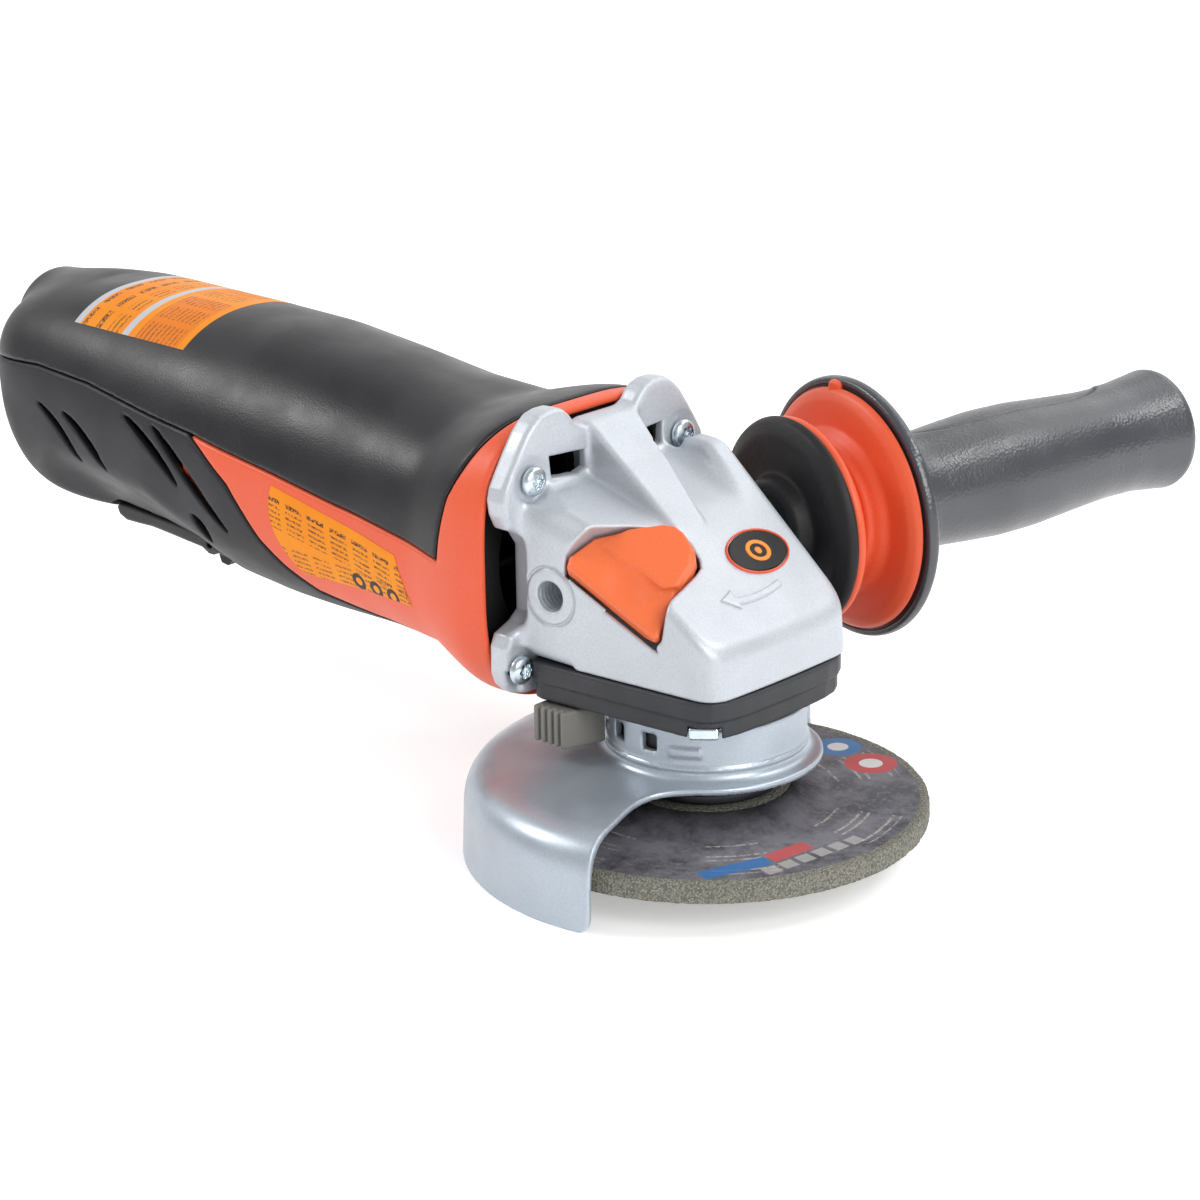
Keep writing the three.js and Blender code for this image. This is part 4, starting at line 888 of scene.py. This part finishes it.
PADDLE_STEP = 0.6
formed("paddle_ribbed", paddle_field, (-244, -12.5, 29), (-145, 12.5, 45), PADDLE_STEP, "black",
       "paddle", "black_plastic", "paddle")

# ---- screws


def screw(node, base, axis, head, height, shank):
    """A domed screw with a six-lobed recess, on its stem; head and shank are radii."""
    name = node + "_star"
    side, up, out = frame_of(axis)

    def field(x, y, z):
        u, v, w = local(x, y, z, base, (side, up, out))
        r = np.sqrt(u * u + v * v)
        dome = np.sqrt(r * r + (w - head * 1.7) ** 2) - head * 1.7
        cap = smax(smax(dome, r - head, 0.8), w - height, 0.5)
        stem = meet(r - shank, slab(w, 0.5, SCREW_LENGTH))
        angle = np.arctan2(v, u)
        star = r - head * (0.43 + 0.075 * np.cos(6 * angle))
        recess = smax(star, w - height * 0.62, 0.2)
        return meet(join(cap, stem), -recess)

    reach = np.abs(side) * head + np.abs(up) * head
    a, b = np.array(base, dtype=float), np.array(base, dtype=float) + out * SCREW_LENGTH
    formed(name, field, np.minimum(a, b) - reach, np.maximum(a, b) + reach, 0.3, "zinc",
           "tool_body", "zinc_plated_steel", node)


CASE_SCREW_FRONT, PLATE_SCREW_BOTTOM = -33.3, 36.4
SCREW_LENGTH = 14
for i, (y0, z0) in enumerate(CASE_SCREWS, 1):
    screw(f"case_screw_{i}", (CASE_SCREW_FRONT, y0, z0), (-1, 0, 0), 4.2, 2.9, 2.0)
for i, (x0, y0) in enumerate(PLATE_SCREWS, 1):
    screw(f"plate_screw_{i}", (x0, y0, PLATE_SCREW_BOTTOM), (0, 0, 1), 3.7, 2.6, 1.6)

# ---- wheel, flange and nut

WHEEL = [
    (11.1, 4.2), (24, 4.2), (35, -0.4), (44, -0.4), (52, -0.4), (58, -0.4), (61, -0.35), (62.2, 0.1),
    (62.45, 1.0), (62.5, 2.0), (62.5, 3.0), (62.5, 4.0), (62.4, 5.0), (62.1, 5.7), (61.4, 5.95),
    (59.4, 5.95), (50, 5.95), (40, 5.95), (33, 6.0), (22, 10.6), (11.1, 10.6),
]


def gritty(r, s, angles):
    if r < 57:
        return np.full(len(angles), r)
    return r - np.abs(RANDOM.normal(0, 0.2, len(angles)))


def wheel_material():
    s = Shader("bonded_abrasive")
    grains = s.voronoi(1500)
    fine = s.noise(2600, 3, 0.7)
    base = s.mix(s.ramp(grains, 0.1, 0.7), srgb(150, 148, 134), srgb(96, 96, 90))
    base = s.mix(s.ramp(fine, 0.55, 0.75), base, srgb(186, 180, 160))
    s.bump((grains, 1.0, 0.0004), (fine, 0.8, 0.0002))
    return s.finish(base, 0.85)


def label_material():
    s = Shader("wheel_label_print")
    x, y, z = s.split()
    radius = s.length(x, y)
    cloud = s.noise(70, 5, 0.65)
    weave = s.voronoi(620)
    base = s.mix(s.ramp(cloud, 0.4, 0.62), srgb(62, 62, 70), srgb(112, 111, 118))
    base = s.mix(s.ramp(s.noise(500, 4, 0.8), 0.5, 0.72), base, srgb(120, 118, 120))
    rules = s.math("PINGPONG", s.product(radius, 1000), 4.6)
    line = s.math("LESS_THAN", s.math("ABSOLUTE", s.math("SUBTRACT", rules, 1.2)), 0.42)
    angle = s.math("ARCTAN2", y, x)
    block = s.math("GREATER_THAN", s.math("SINE", s.product(angle, 7)), 0.25)
    worn = s.ramp(s.noise(900, 4, 0.7), 0.42, 0.55)
    inner = s.between(radius, 0.036, 0.0565)
    base = s.mix(s.product(line, block, worn, inner, 0.75), base, srgb(172, 168, 162))

    def roundel(cx, cy, size, color, base):
        dx, dy = s.math("SUBTRACT", x, cx * MM), s.math("SUBTRACT", y, cy * MM)
        far = s.length(dx, dy)
        base = s.mix(s.math("LESS_THAN", far, size * MM), base, color)
        return s.mix(s.math("LESS_THAN", far, size * 0.45 * MM), base, srgb(205, 205, 205))

    base = roundel(21.1, 47.3, 7.6, srgb(178, 70, 72), base)
    base = roundel(6, 51, 6.8, srgb(52, 108, 162), base)

    def strip(x0, y0, x1, y1, width, color, base, strength=0.85):
        """A straight printed bar between two points of the disc."""
        long = math.hypot(x1 - x0, y1 - y0)
        ux, uy = (x1 - x0) / long, (y1 - y0) / long
        dx, dy = s.math("SUBTRACT", x, x0 * MM), s.math("SUBTRACT", y, y0 * MM)
        u = s.math("ADD", s.product(dx, ux), s.product(dy, uy))
        v = s.math("ABSOLUTE", s.math("SUBTRACT", s.product(dy, ux), s.product(dx, uy)))
        bar = s.product(s.between(u, 0, long * MM), s.math("LESS_THAN", v, width / 2 * MM))
        return s.mix(s.product(bar, strength), base, color)

    base = strip(36.5, -44, 43.3, -24.5, 5.4, srgb(38, 104, 166), base)
    base = strip(42.9, -23.5, 44.6, -9.5, 5.4, srgb(184, 70, 74), base)
    grey = srgb(176, 174, 170)
    for i in range(6):
        base = strip(47.5 + i * 0.9, -31 + i * 6, 48.6 + i * 0.7, -26.6 + i * 6, 4.4, grey, base, 0.6)
    s.bump((weave, 0.35, 0.0002), (cloud, 0.2, 0.0005))
    return s.finish(base, s.ramp(cloud, 0.3, 0.7, 0.55, 0.75), specular=0.4)


wheel = turned("wheel_abrasive", WHEEL, wheel_material(), sides=420, shape=gritty)
hand_over(wheel, "spindle_group", "bonded_abrasive", "grinding_wheel")
WHEEL_LABEL = [(23.5, 10.0), (33.2, 6.02), (59.6, 6.0), (59.6, 5.8), (33.0, 5.6), (23.4, 9.6)]
label = turned("wheel_label", WHEEL_LABEL, label_material(), sides=160)
hand_over(label, "spindle_group", "bonded_abrasive")

flange = turned("inner_flange_turned", soften([
    (7.3, 9.3), (10.8, 9.3), (10.8, 10.9), (21, 10.9), (21, 13.6), (19, 14.6), (15.6, 15.4), (15, 17),
    (7.3, 17),
], 0.8, closed=True), M["blackened"])
hand_over(sharpen(flange), "spindle_group", "blackened_steel", "inner_flange")


def nut_field(x, y, z):
    r = disc(x, y, 0)
    body = smax(r - 18.5, slab(z, 0.4, 3.9), 1.0)
    body = join(body, smax(r - 10.8, slab(z, 1, 9), 0.4))
    thread = 7.15 + 0.35 * np.abs((((z + np.arctan2(y, x) / (2 * math.pi) * 2) / 2.0) % 1.0) * 2 - 1)
    body = smax(body, thread - r, 0.2)
    recess = smax(slab(r, 10.2, 12.0), z - 1.2, 0.3)
    body = smax(body, -recess, 0.4)
    for k in range(4):
        cx, cy = 14.6 * math.cos(k * math.pi / 2), 14.6 * math.sin(k * math.pi / 2)
        body = smax(body, -meet(disc(x - cx, y - cy, 2.4), z - 2.6), 0.4)
    return body


NUT_STEP = 0.42
formed("clamp_nut_turned", nut_field, (-19, -19, 0), (19, 19, 9.5), NUT_STEP, "blackened",
       "spindle_group", "blackened_steel", "clamp_nut")

# ---- side handle


def handle_piece(node, detail, profile, finish, slot, sides=144, shape=None):
    obj = turned(f"{node}_{detail}", profile, M[finish], SOCKET, HANDLE_AXIS, sides, shape)
    hand_over(obj, "side_handle", slot, node)


DISC = soften([
    (4.3, 44.2), (12, 44.2), (14, 45.5), (15, 50), (20, 49.8), (26, 49.2), (30.4, 51.2), (31.2, 53.2),
    (30.6, 54.2), (26, 52.2), (20, 52.6), (16.5, 53.6), (12, 57.2), (4.3, 57.2),
], 1.4, closed=True)
handle_piece("handle_disc", "cupped", DISC, "dark", "soft_rubber")
SLEEVE = soften([
    (4.3, 57.8), (12.4, 57.8), (16.8, 54.2), (26, 52.9), (30.2, 54.6), (30.6, 57), (25, 57.8), (21, 59.2),
    (20.4, 60.4), (18.4, 60.8), (18, 63), (18.4, 64.4), (20.6, 64.8), (21.4, 66.4), (23, 67.4), (25, 69.4),
    (29, 69.6), (32.4, 69.9), (35, 71.2), (36, 72.6), (35.4, 73.3), (20, 73.3), (4.3, 73.3),
], 1.0, closed=True)
handle_piece("handle_sleeve", "ribbed", SLEEVE, "orange", "orange_plastic")

GRIP = [
    (4.3, 73.7), (36.4, 73.7), (37, 73.2), (38.3, 73.4), (38.8, 74.9), (38.7, 76.2), (37.6, 77.4), (25, 79),
    (20.5, 81), (18, 87), (17.2, 96), (18.4, 110), (19.4, 124), (19.2, 138), (18, 152), (17, 166), (17, 178),
    (18.2, 188), (18.8, 192), (17.8, 194.3), (15, 194.85), (7.5, 194.85), (7.5, 190), (4.3, 190),
]
grip_line = []
rounded = soften(GRIP, 3.0, 5)
for p, q in zip(rounded, rounded[1:]):
    pieces = max(1, int(np.linalg.norm(q - p) / 1.1))
    grip_line += [p + (q - p) * k / pieces for k in range(pieces)]
grip_line.append(rounded[-1])


PANEL_MIDDLE = 134


def inset(s, angles):
    """How deep the smooth panel of the grip lies, with the groove along its edge."""
    along = np.clip((s - PANEL_MIDDLE) / 40.0, -1, 1)
    inside = math.radians(46) * np.sqrt(np.maximum(1 - along ** 4, 0)) - np.abs(angles - math.radians(58))
    groove = 1.2 * np.exp(-((inside - 0.02) / 0.035) ** 2) * (abs(s - PANEL_MIDDLE) < 42)
    return smoothstep(-0.02, 0.04, inside) + groove


def grip_shape(r, s, angles):
    if r < 14 or s < 84 or s > 186:
        return np.full(len(angles), r)
    return r - 0.4 * inset(s, angles)


handle_piece("handle_grip", "grained", grip_line, "grip", "black_plastic", 180, grip_shape)


def flange_nub(x, y, z):
    return smax(smax(slab(x, -14.4, -9.8), slab(y, 69.6, 73.2), 0.9), slab(z, 104.5, 108.9), 1.4)


formed("handle_flange_nub", flange_nub, (-15, 69, 104), (-9, 74, 109.5), 0.45, "orange",
       "side_handle", "orange_plastic")

INLET = [
    (4.2, -291), (5.8, -291), (6.4, -290.5), (6.5, -289.9), (6.0, -289.4), (6.0, -288.9), (6.7, -288.4),
    (6.7, -287.8), (6.2, -287.3), (6.2, -286.8), (6.9, -286.3), (6.9, -285.7), (6.5, -285.2), (7.0, -284.2),
    (8.6, -283.7), (9, -283.2), (9, -262), (11.2, -261.8), (11.6, -261.3), (11.6, -259), (11.2, -258.5),
    (4.2, -258.5),
]
inlet = turned("cord_inlet_ribbed", INLET, M["rubber"], (0, 0, GLAND_HEIGHT), (1, 0, 0), 96)
hand_over(inlet, "tool_body", "soft_rubber", "cord_inlet")

# ---- labels, badge and arrow


def solve(field, start, direction, reach, level):
    """Walks from start along direction to where the field reaches level."""
    low, high = np.zeros(len(start)), np.full(len(start), float(reach))
    for _ in range(34):
        middle = (low + high) / 2
        value = field(*(start + middle[:, None] * direction).T)
        low = np.where(value < level, middle, low)
        high = np.where(value < level, high, middle)
    return start + low[:, None] * direction


def patch(name, outer, inner, rows, columns, material):
    """A thin closed slab between two grids of points."""
    verts = np.concatenate([outer, inner])
    count = rows * columns
    index = np.arange(count).reshape(rows, columns)
    top = np.stack([index[:-1, :-1], index[1:, :-1], index[1:, 1:], index[:-1, 1:]], -1).reshape(-1, 4)
    bottom = top[:, ::-1] + count
    loop = np.concatenate([index[0, :], index[1:, -1], index[-1, -2::-1], index[-2:0:-1, 0]])
    after = np.roll(loop, -1)
    walls = np.stack([loop, after, after + count, loop + count], 1)
    faces = outward(verts, np.concatenate([top, bottom, walls]), verts.mean(0))
    return sharpen(new_object(name, verts, faces, material))


def printed(s, base, along, lean, low, high, pitch, ink, strength=0.85):
    """Rows of generic broken rules, kept inside a band; no letters."""
    row = s.math("PINGPONG", s.product(s.math("SUBTRACT", lean, low), 1000), pitch)
    rule = s.math("LESS_THAN", row, pitch * 0.42)
    word = s.math("GREATER_THAN", s.math("SINE", s.product(along, 700)), -0.7)
    mottle = s.ramp(s.noise(1400, 3, 0.7), 0.46, 0.5)
    return s.mix(s.product(rule, word, s.between(lean, low, high), mottle, strength), base, ink)


AMBER, INK = srgb(236, 144, 8), srgb(52, 44, 42)


def label_stock(name):
    """The bare amber label: its shader, colour and roughness."""
    s = Shader(name)
    cloud = s.noise(60, 4)
    s.bump((s.noise(900, 3), 0.2, 0.00003))
    base = s.mix(s.ramp(cloud, 0.3, 0.7), AMBER, srgb(230, 132, 14))
    return s, base, s.ramp(cloud, 0.3, 0.7, 0.42, 0.54)


def top_label_material():
    s, base, rough = label_stock("top_label_print")
    x, y, _ = s.split()
    for low, high in ((-0.240, -0.2345), (-0.2145, -0.2115)):
        base = s.mix(s.between(x, low, high), base, srgb(186, 190, 196))
    base = printed(s, base, y, x, -0.2335, -0.2250, 4.0, INK, 0.9)
    base = printed(s, base, y, x, -0.2215, -0.2160, 1.1, INK, 0.7)
    base = s.mix(s.product(s.between(x, -0.2085, -0.1885), s.math("LESS_THAN", y, -0.004)), base,
                 srgb(224, 122, 16))
    base = printed(s, base, y, x, -0.2080, -0.1900, 1.0, INK, 0.6)
    return s.finish(base, rough, specular=0.2)


def side_label_material():
    s, base, rough = label_stock("side_label_print")
    x, _, z = s.split()
    lean = s.math("ADD", z, s.product(x, 0.2))
    base = printed(s, base, x, lean, 0.0482, 0.0512, 3.0, INK, 0.95)
    base = printed(s, base, x, lean, 0.0400, 0.0472, 0.85, INK, 0.8)
    base = printed(s, base, x, s.math("SUBTRACT", lean, s.product(x, 0.16)), 0.0465, 0.0555, 0.85, INK, 0.7)
    for cx, cz in ((-0.0925, 0.0553), (-0.1000, 0.0560), (-0.0850, 0.0548)):
        dx, dz = s.math("SUBTRACT", x, cx), s.math("SUBTRACT", z, cz)
        far = s.length(dx, dz)
        base = s.mix(s.math("LESS_THAN", far, 0.0027), base, INK)
        base = s.mix(s.math("LESS_THAN", far, 0.0013), base, AMBER)
    return s.finish(base, rough, specular=0.2)


def top_label():
    rows, columns = 60, 60
    xs, ts = np.linspace(-237.3, -185.5, rows), np.linspace(-1, 1, columns)
    grid_x, grid_t = np.meshgrid(xs, ts, indexing="ij")
    grid_x, angle = grid_x.ravel(), grid_t.ravel() * math.radians(41.5)
    start = np.stack([grid_x, 0 * grid_x, np.full_like(grid_x, 77.0)], 1)
    way = np.stack([0 * angle, np.sin(angle), np.cos(angle)], 1)
    outer, inner = (solve(cover_outside, start, way, 60, level) for level in (0.05, -0.45))
    return patch("top_label", outer, inner, rows, columns, top_label_material())


def side_label(name, side):
    rows, columns = 50, 36
    corners = [np.array(p) for p in ((-132.4, 79.2), (-81.3, 68.8), (-76.8, 54), (-125, 52.5))]
    points = []
    for a in np.linspace(0, 1, rows):
        for b in np.linspace(0, 1, columns):
            top, low = corners[0] + (corners[1] - corners[0]) * a, corners[3] + (corners[2] - corners[3]) * a
            p = top + (low - top) * b
            p[0] -= 4.2 * (1 - a) * (1 - (2 * b - 1) ** 2)
            points.append(p)
    points = np.array(points)
    start = np.stack([points[:, 0], 0 * points[:, 0], points[:, 1]], 1)
    way = np.tile([0.0, side, 0.0], (len(points), 1))
    outer, inner = (solve(body_field, start, way, 60, level) for level in (0.14, -0.4))
    return patch(name, outer, inner, rows, columns, side_label_material())


for printed_label in (top_label(), side_label("side_label_right", -1.0), side_label("side_label_left", 1.0)):
    hand_over(printed_label, "tool_body", "orange_plastic")

BADGE_X, BADGE_Y = 7.6, 12.6
BADGE_ALONG, BADGE_ACROSS = 7.6, 11.8
SLOPE_DOWN, SLOPE_NORMAL = unit([1, 0, -SLOPE]), unit([SLOPE, 0, 1])
BADGE_BASE = np.array([BADGE_X, BADGE_Y, slope_height(BADGE_X)])


def slope_frame(x, y, z, cx, cy):
    """Coordinates down, across and out of the sloping top of the gear case."""
    return local(x, y, z, (cx, cy, slope_height(cx)), (SLOPE_DOWN, (0, 1, 0), SLOPE_NORMAL))


def oval(u, v, shrink):
    """Distance to the badge's outline, drawn in by shrink."""
    a, b = BADGE_ALONG - shrink, BADGE_ACROSS - shrink
    q = np.sqrt((u / a) ** 2 + (v / b) ** 2) + 1e-6
    slope = np.sqrt((u / a**2) ** 2 + (v / b**2) ** 2) / q + 1e-6
    return np.minimum((q - 1) / slope, 50)


def badge_piece(name, outline, height, finish, slot, *nodes):
    def field(x, y, z):
        u, v, w = slope_frame(x, y, z, BADGE_X, BADGE_Y)
        return smax(outline(u, v), slab(w, -0.5, height), 0.25)

    room = (8, 13, 7)
    formed(name, field, BADGE_BASE - room, BADGE_BASE + room, 0.33, finish, "tool_body", slot, *nodes)


badge_piece("badge_disc", lambda u, v: oval(u, v, 1.0), 0.55, "dark", "soft_rubber", "badge")
badge_piece("badge_rim", lambda u, v: np.abs(oval(u, v, 0.5)) - 0.28, 0.7, "orange", "orange_plastic")
badge_piece("badge_mark", lambda u, v: join(np.abs(disc(u * 1.2, v, 3.6)) - 0.75, disc(u, v, 1.2)),
            0.8, "amber", "orange_plastic")


ARROW_X = 16.8


def arrow_field(x, y, z):
    u, v, w = slope_frame(x, y, z, ARROW_X, 0)
    arc = np.abs(disc(u + 42, v, 43.2)) - 1.1
    arc = smax(arc, slab(v, -7.5, 11.5), 0.4)
    head = polygon(u, v, [(-3.4, -6.6), (3.2, -7.4), (-1.4, -12.2)])
    return smax(smin(arc, head, 0.5), slab(w, -1.5, 0.8), 0.6)


ARROW_MIDDLE = np.array([ARROW_X, 0, slope_height(ARROW_X)])
formed("turning_arrow", arrow_field, ARROW_MIDDLE - (6, 14, 5), ARROW_MIDDLE + (6, 13, 5), 0.3, "cast",
       "tool_body", "cast_aluminium")


# ---- floor, light and camera

FLOOR_HEIGHT = -9.5
MIDDLE = (-0.05, 0.0, 0.05)


def floor_material():
    s = Shader("pale_floor")
    base = s.mix(s.ramp(s.noise(4, 3), 0.3, 0.7), srgb(250, 250, 250), srgb(246, 246, 247))
    s.bump((s.noise(300, 2), 0.05, 0.0001))
    s.bsdf.inputs["Emission Color"].default_value = (1, 1, 1, 1)
    s.bsdf.inputs["Emission Strength"].default_value = 0.35
    return s.finish(base, 0.7)


def floor():
    """A level floor that curves up into a backdrop behind the tool."""
    angle = math.radians(43.2)
    away = np.array([-math.sin(angle), math.cos(angle), 0])
    across = np.array([math.cos(angle), math.sin(angle), 0])
    line = [(-2500, 0), (1600, 0)]
    line += [(1600 + 500 * math.sin(t), 500 - 500 * math.cos(t)) for t in np.linspace(0.1, 1.57, 12)]
    line.append((2100, 2600))
    verts = [away * along + across * side + np.array([0, 0, FLOOR_HEIGHT + height])
             for along, height in line for side in (-3000, 3000)]
    faces = [(2 * k, 2 * k + 1, 2 * k + 3, 2 * k + 2) for k in range(len(line) - 1)]
    new_object("floor", verts, faces, floor_material())


floor()


def area_light(name, place, size, power):
    data = bpy.data.lights.new(name, "AREA")
    data.energy = power
    data.size = size
    light = bpy.data.objects.new(name, data)
    light.location = place
    light.rotation_euler = (Vector(MIDDLE) - Vector(place)).to_track_quat("-Z", "Y").to_euler()
    bpy.context.scene.collection.objects.link(light)


area_light("key", (1.2, -0.25, 0.8), 0.8, 10.5)
area_light("high", (0.77, 0.65, 1.13), 0.35, 3.5)
area_light("side", (-1.05, -0.66, 0.98), 0.4, 7.5)
area_light("rear", (0.1, 1.0, 1.1), 1.1, 5)

world = bpy.data.worlds.new("studio")
bpy.context.scene.world = world
world.use_nodes = True
world.node_tree.nodes["Background"].inputs[0].default_value = (1, 1, 1, 1)
world.node_tree.nodes["Background"].inputs[1].default_value = 0.5
bpy.context.scene.view_settings.view_transform = "Standard"

CAMERA_PLACE = (0.55369, -0.63236, 0.35739)
CAMERA_AZIMUTH, CAMERA_ELEVATION, CAMERA_ROLL = (math.radians(a) for a in (43.20, 19.27, -0.79))
back = Vector((math.sin(CAMERA_AZIMUTH) * math.cos(CAMERA_ELEVATION),
               -math.cos(CAMERA_AZIMUTH) * math.cos(CAMERA_ELEVATION), math.sin(CAMERA_ELEVATION)))
right = Vector((math.cos(CAMERA_AZIMUTH), math.sin(CAMERA_AZIMUTH), 0))
up = back.cross(right)
turned_right = right * math.cos(CAMERA_ROLL) + up * math.sin(CAMERA_ROLL)
turned_up = up * math.cos(CAMERA_ROLL) - right * math.sin(CAMERA_ROLL)
camera_data = bpy.data.cameras.new("camera")
camera_data.lens = 97.04
camera_data.clip_start, camera_data.clip_end = 0.01, 20
camera = bpy.data.objects.new("camera", camera_data)
camera.matrix_world = Matrix((turned_right, turned_up, back)).transposed().to_4x4()
camera.location = CAMERA_PLACE
bpy.context.scene.collection.objects.link(camera)
bpy.context.scene.camera = camera
